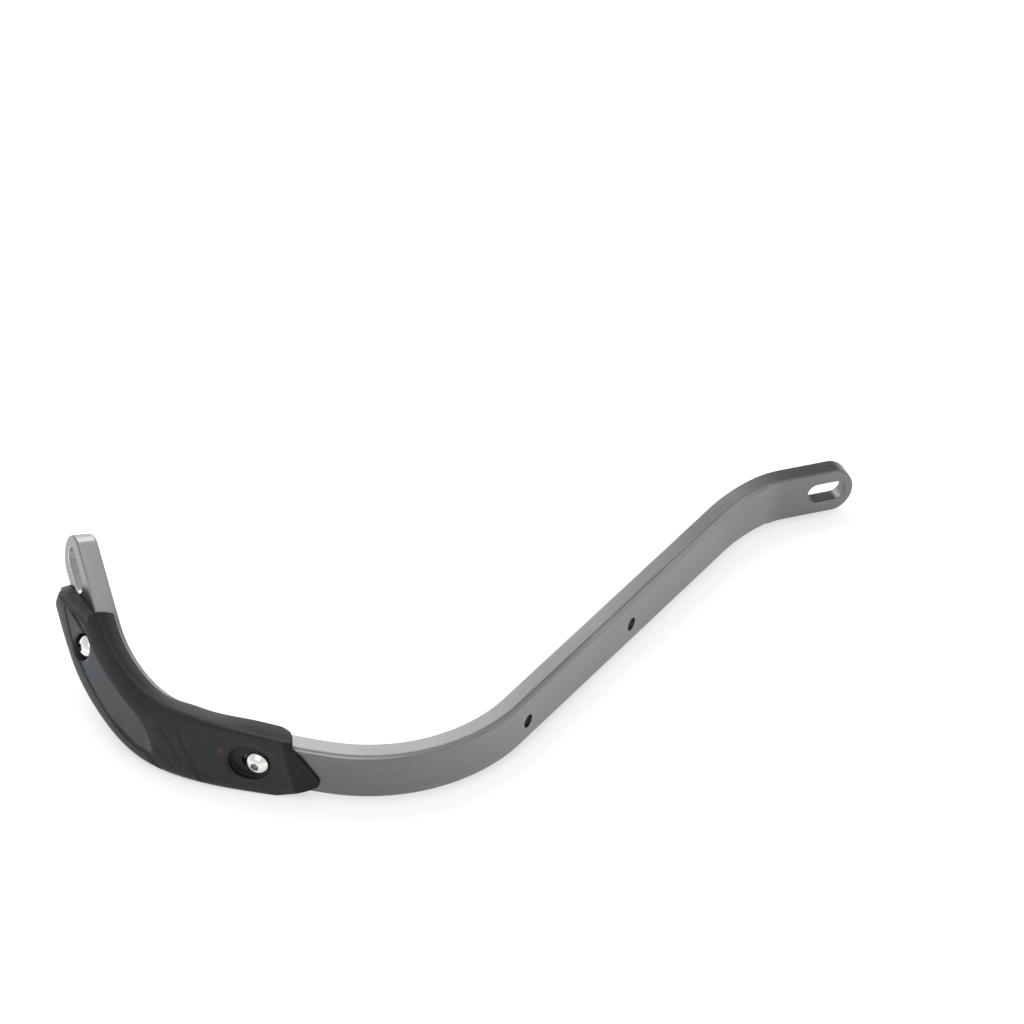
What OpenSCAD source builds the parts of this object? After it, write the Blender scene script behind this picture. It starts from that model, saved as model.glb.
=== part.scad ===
// Motorcycle hand guard: one bent aluminium bar, a moulded corner protector
// over its outer side and the two button-head screws that hold it.
// The bar stands on edge, its outer side turned toward -Y. The origin is the
// middle of the slot in the inner-mount tab, at the right end of the bar; the
// bar-end tab is at the left end. Places along the bar are path lengths.

/* [Bar] */
// Height of the bar as it stands
bar_height = 20; // [17:0.5:24]
// Thickness of the bar
bar_thickness = 8.6; // [7:0.2:11]
// Rounding of the two outer long edges
outer_round = 2.4; // [1.2:0.1:3.4]
// Rounding of the long edges at both tabs
tab_round = 0.9; // [0.4:0.1:1.4]
// Rounding of the two inner long edges
inner_round = 0.7; // [0.3:0.1:1]
// How much the outer face of the inner-mount tab is milled down
tab_mill = 0.5; // [0.2:0.1:1.2]
// Depth of the channel along the inner side
channel_depth = 1.2; // [0.5:0.1:2]
// Width of the channel floor
channel_floor = 11.4; // [8:0.2:12.4]
// Width of each sloping side of the channel
channel_slope = 1.3; // [0.6:0.1:1.6]

/* [Bends] */
// Straight of the inner-mount tab before the channel starts
tab_straight = 27; // [26:0.5:40]
// Straight between the start of the channel and the first bend
tab_run = 3; // [1:0.5:10]
// Radius of the tight half of the first bend
first_radius = 35; // [28:1:50]
// Angle bent while the outer face is still milled
first_milled_angle = 15; // [10:0.5:17]
// Angle left of the tight half after the milled face
first_rest_angle = 5.5; // [3:0.5:8]
// Radius of the wide half of the first bend
first_wide_radius = 90; // [70:1:110]
// Angle of the wide half of the first bend
first_wide_angle = 16.5; // [12:0.5:20]
// Long straight across the front of the hand
long_straight = 153; // [130:1:175]
// Radius where the big bend begins
big_radius = 71; // [60:1:80]
// Angle of that part of the big bend
big_angle = 30; // [24:1:34]
// Radius at the tight middle of the big bend
big_tight_radius = 64; // [56:1:72]
// Angle of the tight middle
big_tight_angle = 38; // [32:1:42]
// Radius of the flat run-out of the big bend
big_flat_radius = 187; // [150:1:220]
// Angle of the flat run-out
big_flat_angle = 19; // [16:0.5:21]
// Radius where the corner bend begins
corner_radius = 56; // [50:1:66]
// Angle of the first part of the corner bend
corner_angle = 22; // [18:0.5:25]
// Radius of the second part of the corner bend
corner_wide_radius = 79; // [70:1:90]
// Angle of the second part of the corner bend
corner_wide_angle = 24.5; // [20:0.5:28]
// How far the axis of the corner bend leans outward
corner_tilt = 33; // [27:0.5:37]
// Straight after the corner, up to the flattened end
end_run = 9.5; // [8:0.5:13]
// Length of the flattened bar-end tab
end_tab = 36; // [34:0.5:42]

/* [Slots and holes] */
// Width of the slots for the 8 mm mounting screws
slot_width = 8.7; // [8.4:0.1:9.6]
// Length of the inner-mount slot on the outer side
mount_slot_length = 16.5; // [13:0.5:18]
// From the tip of the inner-mount tab to the middle of its slot
mount_slot_centre = 12; // [11.5:0.1:14]
// Length of the stepped recess of that slot on the inner side
mount_recess_length = 20.5; // [18.5:0.5:21]
// Width of that recess
mount_recess_width = 11.6; // [10.4:0.2:12.4]
// Depth of that recess
mount_recess_depth = 2.2; // [1:0.1:3.5]
// Length of the bar-end slot
end_slot_length = 20; // [16:0.5:21]
// From the tip of the bar-end tab to the middle of its slot
end_slot_centre = 14.5; // [14:0.5:17]
// Width of the groove on the inner side of the bar-end tab
end_groove_width = 10.4; // [9.8:0.2:12]
// Length of that groove, open at the tip
end_groove_length = 28; // [26:0.5:30]
// Depth of that groove
end_groove_depth = 2.2; // [1:0.1:3.5]
// Bore of the two tapped holes for a wind shield
shield_bore = 5.4; // [4.8:0.1:6.4]
// From the start of the long straight to the first shield hole
shield_hole_a = 72.5; // [60:0.5:80]
// From the first shield hole to the second
shield_hole_pitch = 75; // [50:1:76]
// How far the shield holes lie below the middle of the bar
shield_hole_drop = 1; // [0:0.1:2]

/* [Corner protector] */
// Clearance between the protector and the bar
fit_gap = 0.15; // [0.1:0.05:0.4]
// How far the protector reaches ahead of the corner bend
front_reach = 59; // [50:0.5:62]
// How far the protector reaches past the start of the corner bend
rear_reach = 86; // [82:0.5:90]
// Thickness of the flange over the upper edge
upper_flange = 3; // [2:0.1:4]
// Thickness of the upper flange at its thin inner border
upper_lip = 0.9; // [0.6:0.1:1.5]
// Thickness of the flange under the lower edge
lower_flange = 3.1; // [2:0.1:4]
// Bar thickness that the lower flange covers
lower_cover = 4.4; // [3:0.1:5.5]
// Padding over the outer face at the pointed front end
pad_tip = 0.9; // [0.6:0.1:1.6]
// Padding at the corner
pad_corner = 8.7; // [7:0.1:10]
// Padding at the waist behind the corner
pad_waist = 6.8; // [5.5:0.1:8]
// Padding at the rear screw and behind it
pad_rear = 7.9; // [7:0.1:9]
// Padding at the chamfered rear end
pad_end = 5; // [4:0.1:6.5]
// Depth of the long glossy recess along its upper border
recess_depth = 1.2; // [0.6:0.1:2]
// Depth of that recess along its lower border
recess_low_depth = 2.7; // [1.2:0.1:3.2]
// Depth of the panel around the front screw
panel_depth = 0.6; // [0.3:0.1:0.9]
// Depth of the slanted grooves
groove_depth = 0.8; // [0.4:0.1:1.2]
// Width of the slanted grooves
groove_width = 1.6; // [1:0.1:2.2]

/* [Protector screws] */
// Thread diameter of the screws
screw_d = 5; // [4:0.5:6]
// Clearance all round in the tapped holes
thread_gap = 0.1; // [0.05:0.05:0.2]
// Clearance all round in the protector
shank_gap = 0.35; // [0.2:0.05:0.6]
// Head diameter
head_d = 9.5; // [8.6:0.1:10.5]
// Head height
head_h = 3.1; // [2.6:0.1:3.4]
// Height of the straight rim round the head
head_rim = 0.6; // [0.2:0.1:1]
// Length of the screws under the head
screw_length = 9.3; // [8.4:0.1:9.6]
// Width across flats of the hexagon socket
socket_af = 3; // [2.5:0.5:4]
// Depth of the socket
socket_depth = 1.7; // [1.2:0.1:2]
// From the front screw to the start of the corner bend
front_screw_lead = 35; // [34:0.5:38]
// Height of the front screw above the middle of the bar
front_screw_up = 0.8; // [0:0.1:2]
// Protector floor under the front screw head
front_floor = 1.4; // [1:0.1:2]
// From the start of the corner bend to the rear screw
rear_screw_lag = 52; // [50:0.5:56]
// Protector floor under the rear screw head
rear_floor = 3.5; // [3:0.1:4]
// Clearance round the rear screw head
head_gap = 0.6; // [0.3:0.1:1.2]
// Length of the oval seat of the front screw
seat_length = 16.5; // [15:0.5:19]
// Width of the oval seat
seat_width = 14.2; // [12:0.1:15]
// How far the seat's middle lies from the front screw, toward the corner
seat_shift = 2.8; // [2:0.1:3.5]
// Travel of the front screw in its slot
seat_travel = 3.5; // [2:0.5:5]

/* [Hidden] */
$fn = 64;
half_h = bar_height / 2;
half_t = bar_thickness / 2;
// radius of the round tips, a little over half the height
tip_radius = half_h + 0.3;
// a cut reaches this far past the face it opens
over = 1;
// length of the cutting tools across the bar
reach = 60;
// largest step of the protector's loft
loft_step = 3.4;
// largest step of the bar's loft in a bend, in degrees
bend_step = 2.4;
// length over which the bar's section changes
change = 0.4;
// kinds of section: share of the channel depth, depth milled off, outer rounding
MILLED = [0, tab_mill, tab_round];
MILLED_CHANNEL = [1, tab_mill, tab_round];
PLAIN_CHANNEL = [1, 0, outer_round];
END_TAB = [0, 0, tab_round];
// each run: straight length, radius, angle (plus bends inward), lean of the
// bending axis, kind of section
RUNS = [
    [tab_straight, 0, 0, 0, MILLED],
    [tab_run, first_radius, first_milled_angle, 0, MILLED_CHANNEL],
    [0, first_radius, first_rest_angle, 0, PLAIN_CHANNEL],
    [0, first_wide_radius, first_wide_angle, 0, PLAIN_CHANNEL],
    [long_straight, big_radius, -big_angle, 0, PLAIN_CHANNEL],
    [0, big_tight_radius, -big_tight_angle, 0, PLAIN_CHANNEL],
    [0, big_flat_radius, -big_flat_angle, 0, PLAIN_CHANNEL],
    [0, corner_radius, -corner_angle, corner_tilt, PLAIN_CHANNEL],
    [0, corner_wide_radius, -corner_wide_angle, corner_tilt, PLAIN_CHANNEL],
    [end_run, 0, 0, 0, PLAIN_CHANNEL],
    [end_tab, 0, 0, 0, END_TAB]
];
COUNT = len(RUNS);
function run_length(r) = r[0] + r[1] * abs(r[2]) * PI / 180;
STARTS = [for (i = 0, s = 0; i <= COUNT;
    s = s + (i < COUNT ? run_length(RUNS[i]) : 0), i = i + 1) s];
total = STARTS[COUNT];
function run_at(s, i = 0) = i >= COUNT - 1 || s < STARTS[i + 1] ? i : run_at(s, i + 1);

// frames along the middle line: point, tangent, outward, up
function turn(v, k, a) = v * cos(a) + cross(k, v) * sin(a) + k * (k * v) * (1 - cos(a));
function go(f, d) = [f[0] + f[1] * d, f[1], f[2], f[3]];
function bend(f, r, a, lean) =
    let (k = f[3] * cos(lean) + f[2] * sin(lean),
         c = f[0] + cross(k, f[1]) * r * sign(a))
    [c + turn(f[0] - c, k, a), turn(f[1], k, a), turn(f[2], k, a), turn(f[3], k, a)];
function past_run(f, r) = r[1] > 0 ? bend(go(f, r[0]), r[1], r[2], r[3]) : go(f, r[0]);
HOME = [[mount_slot_centre, 0, 0], [-1, 0, 0], [0, -1, 0], [0, 0, 1]];
FRAMES = [for (i = 0, f = HOME; i <= COUNT;
    f = i < COUNT ? past_run(f, RUNS[i]) : f, i = i + 1) f];
function frame_at(s) =
    let (i = run_at(s), r = RUNS[i], d = s - STARTS[i])
    d <= r[0] || r[1] == 0 ? go(FRAMES[i], d)
    : bend(go(FRAMES[i], r[0]), r[1], sign(r[2]) * (d - r[0]) / r[1] * 180 / PI, r[3]);
function spot(f, u, v) = f[0] + f[2] * u + f[3] * v;

// landmarks along the path
straight_start = STARTS[4];
corner_start = STARTS[7];
front_end = corner_start - front_reach;
rear_end = corner_start + rear_reach;
front_screw = corner_start - front_screw_lead;
rear_screw = corner_start + rear_screw_lag;
chamfer_start = rear_end - 8;
// padding over the outer face: landmarks, with smooth swells between them
SWELLS = [[front_end, pad_tip], [corner_start + 1, pad_corner], [corner_start + 35, pad_waist],
    [corner_start + 70, pad_rear], [chamfer_start, pad_rear], [rear_end, pad_end]];
function swell(s, a, b) = a[1] + (b[1] - a[1]) * (1 - cos(180 * (s - a[0]) / (b[0] - a[0]))) / 2;
function pad(s, i = 0) = i >= len(SWELLS) - 2 || s < SWELLS[i + 1][0]
    ? swell(max(front_end, min(s, rear_end)), SWELLS[i], SWELLS[i + 1]) : pad(s, i + 1);
// the upper flange covers the whole bar at the front and thins out to a lip at the corner
flush_end = corner_start - 12;
lip_start = corner_start + 10;
function thin(s) = max(0, min(1, (s - flush_end) / (lip_start - flush_end)));
function inset(s) = 0.95 * thin(s);
function lip(s) = upper_flange + (upper_lip - upper_flange) * thin(s);
// outer shape of the padding: [share of the padding, height]
function shape(w) = [
    [0.10, half_h + upper_flange - 0.1], [0.34, half_h + upper_flange - 0.9],
    [0.52, half_h + upper_flange - 2.3], [0.66, half_h + upper_flange - 4.3],
    [0.76, half_h - 4], [0.84, half_h - 7], [0.91, 0], [0.97, -half_h + 6.6],
    [1, -half_h + 3.6], [0.99, -half_h + 0.9], [0.93, -half_h - 1.1],
    [0.8, -half_h - 2.5], [0.58, -half_h - lower_flange]
];
function shell_out(s) =
    let (w = pad(s), top = half_h + upper_flange, low = -half_h - lower_flange,
         a = -half_t + inset(s), b = half_t - lower_cover, t = half_h + lip(s), m = shape(w))
    concat([[a, t - 0.4], [a + 0.6, t], [(a + half_t) / 2, (t + top) / 2 + 0.25], [half_t - 1, top - 0.02]],
        [for (p = m) [half_t + fit_gap + p[0] * w, p[1]]],
        [[b + 0.8, low], [b, low + 0.7]]);
function shell_in(s) =
    let (x = half_t + fit_gap, y = half_h + fit_gap,
         a = -half_t + inset(s), b = half_t - lower_cover)
    [[a, y], [a + 0.6, y], [(a + half_t) / 2, y], [half_t - 1, y],
     [x, y], [x, y - 0.9], [x, y - 2.3], [x, y - 4.3], [x, half_h - 5], [x, half_h - 7], [x, 0],
     [x, -half_h + 6.6], [x, -half_h + 3.6], [x, -half_h + 1.8], [x, -half_h + 0.8], [x, -y],
     [half_t - 0.8, -y], [b + 0.8, -y], [b, -y]];

// a solid through rings of points; each ring is an outer and an inner chain
module loft(rings) {
    n = len(rings[0]) / 2;
    k = len(rings);
    side = [for (i = [0:k - 2], j = [0:2 * n - 1])
        let (a = i * 2 * n + j, b = i * 2 * n + (j + 1) % (2 * n))
        each [[a, b, a + 2 * n], [b, b + 2 * n, a + 2 * n]]];
    cap0 = [for (j = [0:n - 2]) let (a = j, b = j + 1, c = 2 * n - 2 - j, d = 2 * n - 1 - j)
        each [[a, c, b], [a, d, c]]];
    cap1 = [for (t = cap0) [for (q = [2, 1, 0]) t[q] + (k - 1) * 2 * n]];
    polyhedron([for (r = rings) each r], concat(side, cap0, cap1));
}
function ring(f, out, in) = concat([for (p = out) spot(f, p[0], p[1])],
    [for (i = [len(in) - 1:-1:0]) spot(f, in[i][0], in[i][1])]);

// children placed on the path: x along it, y outward, z up
module on_path(s) {
    f = frame_at(s);
    multmatrix([for (k = [0:2]) [f[1][k], f[2][k], f[3][k], f[0][k]]]) children();
}

// stations of the bar's loft: path length and kind of section
STATIONS = [for (i = [0:COUNT - 1]) let (r = RUNS[i], a = STARTS[i], n = ceil(abs(r[2]) / bend_step))
    each concat(
        [i > 0 ? [a, RUNS[i - 1][4]] : [a - over, r[4]]],
        i > 0 && RUNS[i - 1][4] != r[4] ? [[a + change, r[4]]] : [],
        r[0] > 0 && r[1] > 0 ? [[a + r[0], r[4]]] : [],
        n > 1 ? [for (j = [1:n - 1]) [a + r[0] + r[1] * abs(r[2]) * PI / 180 * j / n, r[4]]] : [],
        i == COUNT - 1 ? [[total + over, r[4]]] : [])];
// section of the bar, from top to bottom: its outer side, then its inner side
function bar_out(k) = let (face = half_t - k[1], r = k[2])
    concat([for (q = [0:4]) [face - r + r * sin(q * 22.5), half_h - r + r * cos(q * 22.5)]], [[face, 0]],
        [for (q = [4:-1:0]) [face - r + r * sin(q * 22.5), -half_h + r - r * cos(q * 22.5)]]);
function bar_in(k) = let (r = inner_round, d = -half_t + channel_depth * k[0], e = channel_floor / 2)
    concat([for (q = [0:2]) [-half_t + r - r * sin(q * 45), half_h - r + r * cos(q * 45)]],
        [[-half_t, e + channel_slope], [d, e], [d, 0], [d, -e], [-half_t, -e - channel_slope]],
        [for (q = [2:-1:0]) [-half_t + r - r * sin(q * 45), -half_h + r - r * cos(q * 45)]]);

// an obround through the bar, laid along the path, its mouth toward +outward
module obround(length, width, height)
    rotate([90, 0, 0]) translate([0, 0, -height]) linear_extrude(height) {
        square([length - width, width], center = true);
        for (x = [-1, 1]) translate([x * (length - width) / 2, 0]) circle(width / 2);
    }
// trims a tab to a round tip; the tip is at the origin, pointing to -x
module round_tip()
    difference() {
        translate([-2 * over, -reach / 2, -half_h - over])
            cube([tip_radius + 2 * over, reach, bar_height + 2 * over]);
        translate([tip_radius, 0, 0]) rotate([90, 0, 0]) cylinder(r = tip_radius, h = reach + 2, center = true);
    }

module guard_bar() color("silver")
    difference() {
        loft([for (q = STATIONS) ring(frame_at(q[0]), bar_out(q[1]), bar_in(q[1]))]);
        on_path(0) round_tip();
        on_path(total) rotate([0, 0, 180]) round_tip();
        on_path(mount_slot_centre) {
            translate([0, -reach / 2, 0]) obround(mount_slot_length, slot_width, reach);
            translate([0, -half_t + mount_recess_depth - reach, 0])
                obround(mount_recess_length, mount_recess_width, reach);
        }
        on_path(total - end_slot_centre)
            translate([0, -reach / 2, 0]) obround(end_slot_length, slot_width, reach);
        on_path(total) translate([0, -half_t + end_groove_depth - reach, 0])
            obround(2 * end_groove_length, end_groove_width, reach);
        for (s = [shield_hole_a, shield_hole_a + shield_hole_pitch])
            on_path(straight_start + s) translate([0, 0, -shield_hole_drop]) rotate([90, 0, 0])
                cylinder(d = shield_bore, h = reach, center = true);
        screw_at(front_screw, front_screw_up) tapped();
        screw_at(rear_screw, 0) tapped();
    }
module screw_at(s, up) on_path(s) translate([0, 0, up]) rotate([-90, 0, 0]) children();
module tapped() cylinder(r = screw_d / 2 + thread_gap, h = reach, center = true);

// cutters of the protector: across the outer wall, and down through a flange
module wall_cut(s, outline)
    on_path(s) rotate([90, 0, 0]) linear_extrude(reach, center = true) polygon(outline);
module flange_cut(s, low, high, outline)
    on_path(s) translate([0, 0, low]) linear_extrude(high - low) polygon(outline);
// pointed front end of the wall, seen on the outer side, and rounded corner of its upper flange
module front_trim() {
    wall_cut(front_end, [[-over, reach], [10.6, reach], [10.6, half_h + 0.4], [1.2, -1.2], [0.1, -3],
        [0.2, -4.6], [0.9, -5.9], [4.5, -8.1], [8, -half_h + 0.1], [13, -half_h - 1.6],
        [18, -half_h - 3.4], [18, -reach], [-over, -reach]]);
    flange_cut(front_end, half_h, half_h + upper_flange + over,
        [[-over, reach], [10.6, reach], [10.9, 5], [11.8, 0.6], [13.4, -1.8], [16.4, -3.6], [20, -4.5],
        [20, -reach], [-over, -reach]]);
}
// the lower flange starts with a slanted edge
module lower_trim()
    flange_cut(front_end, -half_h - lower_flange - over, -half_h,
        [[-over, -reach], [26, -reach], [26, 0], [22, 1.6], [19.5, 4], [18.5, 9], [18.5, reach],
        [-over, reach]]);
// slanted rear end of the wall, and square end of the upper flange
module rear_trim()
    wall_cut(rear_end, [[-26.6, reach], [-26.6, half_h - 0.5], [-4.6, -5.4], [-0.8, -half_h - 0.4],
        [over, -half_h - 2], [over, reach]]);
// outlines sunk into the outer face: place from the start of the corner bend, lower and upper
// height, share of the depth; the recess has a flat floor and the panel follows the outer face
RECESS = [[6, -7, -3.5, 0.2], [9, -7, 3, 0.4], [13, -6.6, 7, 0.7], [17, -6, 8.6, 0.9],
    [26, -4.9, 9.2, 1], [35, -4, 9.4, 1], [43, -4, 9.2, 1], [52, -4.4, 8.4, 1], [60, -4, 5.6, 1],
    [66, -3, 2.8, 0.9], [72, -2, -0.6, 0.5]];
PANEL = [[-46, -3, 6.5], [-44, -6.8, 9.4], [-39, -8, 11], [-21, -8.6, 10.4], [-12, -7.6, 8.2], [-9.4, -4, 5]];
function face_u(s, v) = half_t + fit_gap + pad(s) *
    lookup(v, [for (i = [len(shape(1)) - 1:-1:0]) [shape(1)[i][1], shape(1)[i][0]]]);
// slanted grooves on the corner: place and height of one end, then of the other
GROOVES = [[1, 1.7, 7, 6], [-3.7, -7.6, 2.8, -2.6], [-8.1, -4.3, -1.2, 9], [-11.2, -12.3, -3.2, 11.5]];
skin_steps = round((rear_end - front_end) / loft_step);
shank_bore = screw_d + 2 * shank_gap;
SHARES = [0, 0.2, 0.4, 0.6, 0.8, 1];
function across(a, b) = [for (t = SHARES) a + (b - a) * t];
module sunk_recess()
    loft([for (q = RECESS)
        let (s = corner_start + q[0], vs = across(q[2], q[1]),
             floor_u = across(face_u(s, q[2]) - recess_depth * q[3], face_u(s, q[1]) - recess_low_depth * q[3]))
        ring(frame_at(s), [for (v = vs) [face_u(s, v) + 3, v]], [for (i = [0:len(vs) - 1]) [floor_u[i], vs[i]]])]);
module sunk_panel()
    loft([for (q = PANEL)
        let (s = corner_start + q[0], vs = across(q[2], q[1]))
        ring(frame_at(s), [for (v = vs) [face_u(s, v) + 3, v]], [for (v = vs) [face_u(s, v) - panel_depth, v]])]);
// a slanted groove from one place and height to another
module groove(s0, v0, s1, v1) {
    w = groove_width / 2 / cos(atan((v1 - v0) / (s1 - s0)));
    loft([for (t = [0, 0.5, 1])
        let (s = corner_start + s0 + (s1 - s0) * t, v = v0 + (v1 - v0) * t, o = face_u(s, v))
        ring(frame_at(s), [[o + 3, v + w], [o + 3, v - w]],
            [[o - groove_depth, v + w], [o - groove_depth, v - w]])]);
}

module corner_protector() color("dimgray")
    difference() {
        loft([for (k = [0:skin_steps]) let (s = front_end + (rear_end - front_end) * k / skin_steps)
            ring(frame_at(s), shell_out(s), shell_in(s))]);
        front_trim();
        lower_trim();
        rear_trim();
        sunk_recess();
        sunk_panel();
        for (q = GROOVES) groove(q[0], q[1], q[2], q[3]);
        screw_at(front_screw, front_screw_up) {
            translate([seat_travel / 2, 0, 0]) oval(seat_travel + shank_bore, shank_bore, -reach);
            translate([seat_shift, 0, 0]) oval(seat_length, seat_width, half_t + fit_gap + front_floor);
        }
        screw_at(rear_screw, 0) {
            cylinder(d = shank_bore, h = reach, center = true);
            translate([0, 0, half_t + fit_gap + rear_floor]) cylinder(r = head_d / 2 + head_gap, h = reach);
        }
    }
// an oval from the given height up, long side along the path
module oval(length, width, low)
    translate([0, 0, low]) linear_extrude(reach - low) {
        square([length - width, width], center = true);
        for (x = [-1, 1]) translate([x * (length - width) / 2, 0]) circle(width / 2);
    }

// a button-head screw, head face on the protector floor
module button_screw(floor_thickness) color("lightgray")
    let (seat = half_t + fit_gap + floor_thickness, rise = head_h - head_rim,
         dome = (pow(head_d / 2, 2) + pow(rise, 2)) / (2 * rise))
    difference() {
        union() {
            translate([0, 0, seat - screw_length]) cylinder(d = screw_d, h = screw_length + 0.01);
            intersection() {
                translate([0, 0, seat + head_h - dome]) sphere(dome);
                translate([0, 0, seat]) cylinder(d = head_d, h = head_h + 1);
            }
        }
        translate([0, 0, seat + head_h - socket_depth]) cylinder(d = socket_af / cos(30), h = reach, $fn = 6);
    }
module protector_screw_front() screw_at(front_screw, front_screw_up) button_screw(front_floor);
module protector_screw_rear() screw_at(rear_screw, 0) button_screw(rear_floor);

guard_bar();
corner_protector();
protector_screw_front();
protector_screw_rear();
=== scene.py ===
"""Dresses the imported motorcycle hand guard: a drawn aluminium bar swept along its bent path, a
moulded corner protector, its two button-head screws, and a plain studio round them."""
import math

import bmesh
import bpy
import numpy as np
from mathutils import Matrix, Vector


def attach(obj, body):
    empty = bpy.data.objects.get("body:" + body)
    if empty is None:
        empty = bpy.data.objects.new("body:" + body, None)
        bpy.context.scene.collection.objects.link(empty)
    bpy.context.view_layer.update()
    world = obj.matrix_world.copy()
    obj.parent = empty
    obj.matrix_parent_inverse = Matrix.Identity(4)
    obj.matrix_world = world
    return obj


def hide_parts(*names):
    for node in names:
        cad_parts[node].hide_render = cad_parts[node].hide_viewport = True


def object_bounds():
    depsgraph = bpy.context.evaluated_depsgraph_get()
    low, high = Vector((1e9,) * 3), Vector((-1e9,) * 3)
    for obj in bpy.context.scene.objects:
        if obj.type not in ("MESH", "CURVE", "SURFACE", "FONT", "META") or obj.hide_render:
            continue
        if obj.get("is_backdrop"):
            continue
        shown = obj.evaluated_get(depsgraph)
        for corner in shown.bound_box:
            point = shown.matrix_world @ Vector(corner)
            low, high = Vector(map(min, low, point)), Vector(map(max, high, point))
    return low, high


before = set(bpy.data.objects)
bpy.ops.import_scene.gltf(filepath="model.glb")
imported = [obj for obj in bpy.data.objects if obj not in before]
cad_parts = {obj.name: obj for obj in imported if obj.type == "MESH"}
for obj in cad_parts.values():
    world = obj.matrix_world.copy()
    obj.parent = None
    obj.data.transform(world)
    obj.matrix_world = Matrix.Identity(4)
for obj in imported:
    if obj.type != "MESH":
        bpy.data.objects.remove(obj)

bl_info = {
    "name": "Motorcycle Hand Guard",
    "version": (1, 0, 0),
    "blender": (4, 5, 0),
    "location": "View3D > Sidebar > Hand Guard",
    "description": "Builds the hand guard's bar, corner protector, screws and studio",
    "category": "Add Mesh",
}

MM = 0.001
# the bar's runs along its path: straight in mm, radius in mm, angle in degrees
# (plus bends inward), lean of the bending axis in degrees
RUNS = (
    (27, 0, 0, 0), (3, 35, 15, 0), (0, 35, 5.5, 0), (0, 90, 16.5, 0), (153, 71, -30, 0), (0, 64, -38, 0),
    (0, 187, -19, 0), (0, 56, -22, 33), (0, 79, -24.5, 33), (9.5, 0, 0, 0), (36, 0, 0, 0),
)
TAB_TIP = 12.0
HALF_HEIGHT = 10.0
HALF_THICKNESS = 4.3
INNER_FACE = HALF_THICKNESS + 0.15


def turned(v, axis, angle):
    """Rows of v turned about an axis by an angle, or by one angle for each row."""
    angle = np.asarray(angle, float)[..., None]
    along = (v @ axis)[..., None] * axis
    return v * np.cos(angle) + np.cross(axis, v) * np.sin(angle) + along * (1 - np.cos(angle))


class BarPath:
    """The bar's middle line, in mm: a point with its tangent, outward and upward directions."""

    def __init__(self):
        self.starts = [0.0]
        now = [np.array(v, float) for v in ((TAB_TIP, 0, 0), (-1, 0, 0), (0, -1, 0), (0, 0, 1))]
        self.frames = []
        for run in RUNS:
            straight, radius, angle, _ = run
            turn = radius * math.radians(abs(angle))
            self.frames.append(now)
            now = [v[0] for v in self.follow(now, np.array([straight + turn]), run)]
            self.starts.append(self.starts[-1] + straight + turn)
        self.length = self.starts[-1]

    @staticmethod
    def follow(start, d, run):
        """Frames at the distances d into a run that begins at the frame start."""
        straight, radius, angle, lean = run
        point, tangent, outward, up = start
        ahead = np.minimum(d, straight) if radius else d
        p = point + tangent * ahead[:, None]
        if not radius:
            return [p] + [np.repeat(v[None], len(d), 0) for v in (tangent, outward, up)]
        axis = up * math.cos(math.radians(lean)) + outward * math.sin(math.radians(lean))
        a = np.sign(angle) * np.maximum(d - straight, 0) / radius
        arm = -np.cross(axis, tangent) * radius * np.sign(angle)
        p = p - arm + turned(np.repeat(arm[None], len(d), 0), axis, a)
        return [p] + [turned(np.repeat(v[None], len(d), 0), axis, a) for v in (tangent, outward, up)]

    def at(self, s):
        """Points, tangents, outward and upward directions at the path lengths s."""
        s = np.atleast_1d(np.asarray(s, float))
        out = [np.zeros((len(s), 3)) for _ in range(4)]
        run = np.clip(np.searchsorted(self.starts, s, side="right") - 1, 0, len(RUNS) - 1)
        for i in np.unique(run):
            here = run == i
            for whole, part in zip(out, self.follow(self.frames[i], s[here] - self.starts[i], RUNS[i])):
                whole[here] = part
        return out

    def spot(self, s, outward, upward):
        """Points beside the path, in mm; the arguments have one shape."""
        s, outward, upward = np.broadcast_arrays(s, outward, upward)
        p, _, n, u = self.at(s.ravel())
        return (p + n * outward.reshape(-1, 1) + u * upward.reshape(-1, 1)).reshape(s.shape + (3,))


PATH = BarPath()
STRAIGHT = PATH.starts[4]
CORNER = PATH.starts[7]
SHIELD_HOLES = STRAIGHT + 72.5, STRAIGHT + 147.5
SHIELD_HOLE_DROP = 1.0
FRONT_SCREW = CORNER - 35
REAR_SCREW = CORNER + 52
FRONT_SCREW_UP = 0.8
FRONT_SEAT = INNER_FACE + 1.4
REAR_SEAT = INNER_FACE + 3.5
# oval seat of the front screw, the screw's travel in it, and the round pocket of the rear screw
SEAT_LENGTH, SEAT_WIDTH, SEAT_SHIFT, SEAT_TRAVEL = 16.5, 14.2, 2.8, 3.5
SHANK_BORE = 5.7
POCKET = 10.7
# slots of both tabs, with the recess and the groove on their inner side, and the bores
SLOT_WIDTH, MOUNT_SLOT_LENGTH, END_SLOT_LENGTH = 8.7, 16.5, 20
END_SLOT = PATH.length - 14.5
MOUNT_RECESS_LENGTH, MOUNT_RECESS_WIDTH = 20.5, 11.6
END_GROOVE_LENGTH, END_GROOVE_WIDTH = 28, 10.4
INNER_SINK = 2.2
SHIELD_BORE, TAPPED_BORE = 5.4, 5.2
TIP_RADIUS = HALF_HEIGHT + 0.3


def smooth(x, low, high):
    """0 below low, 1 above high and a soft step between them."""
    t = np.clip((np.asarray(x, float) - low) / (high - low), 0, 1)
    return t * t * (3 - 2 * t)


# sizes and colours that a user would change


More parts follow.
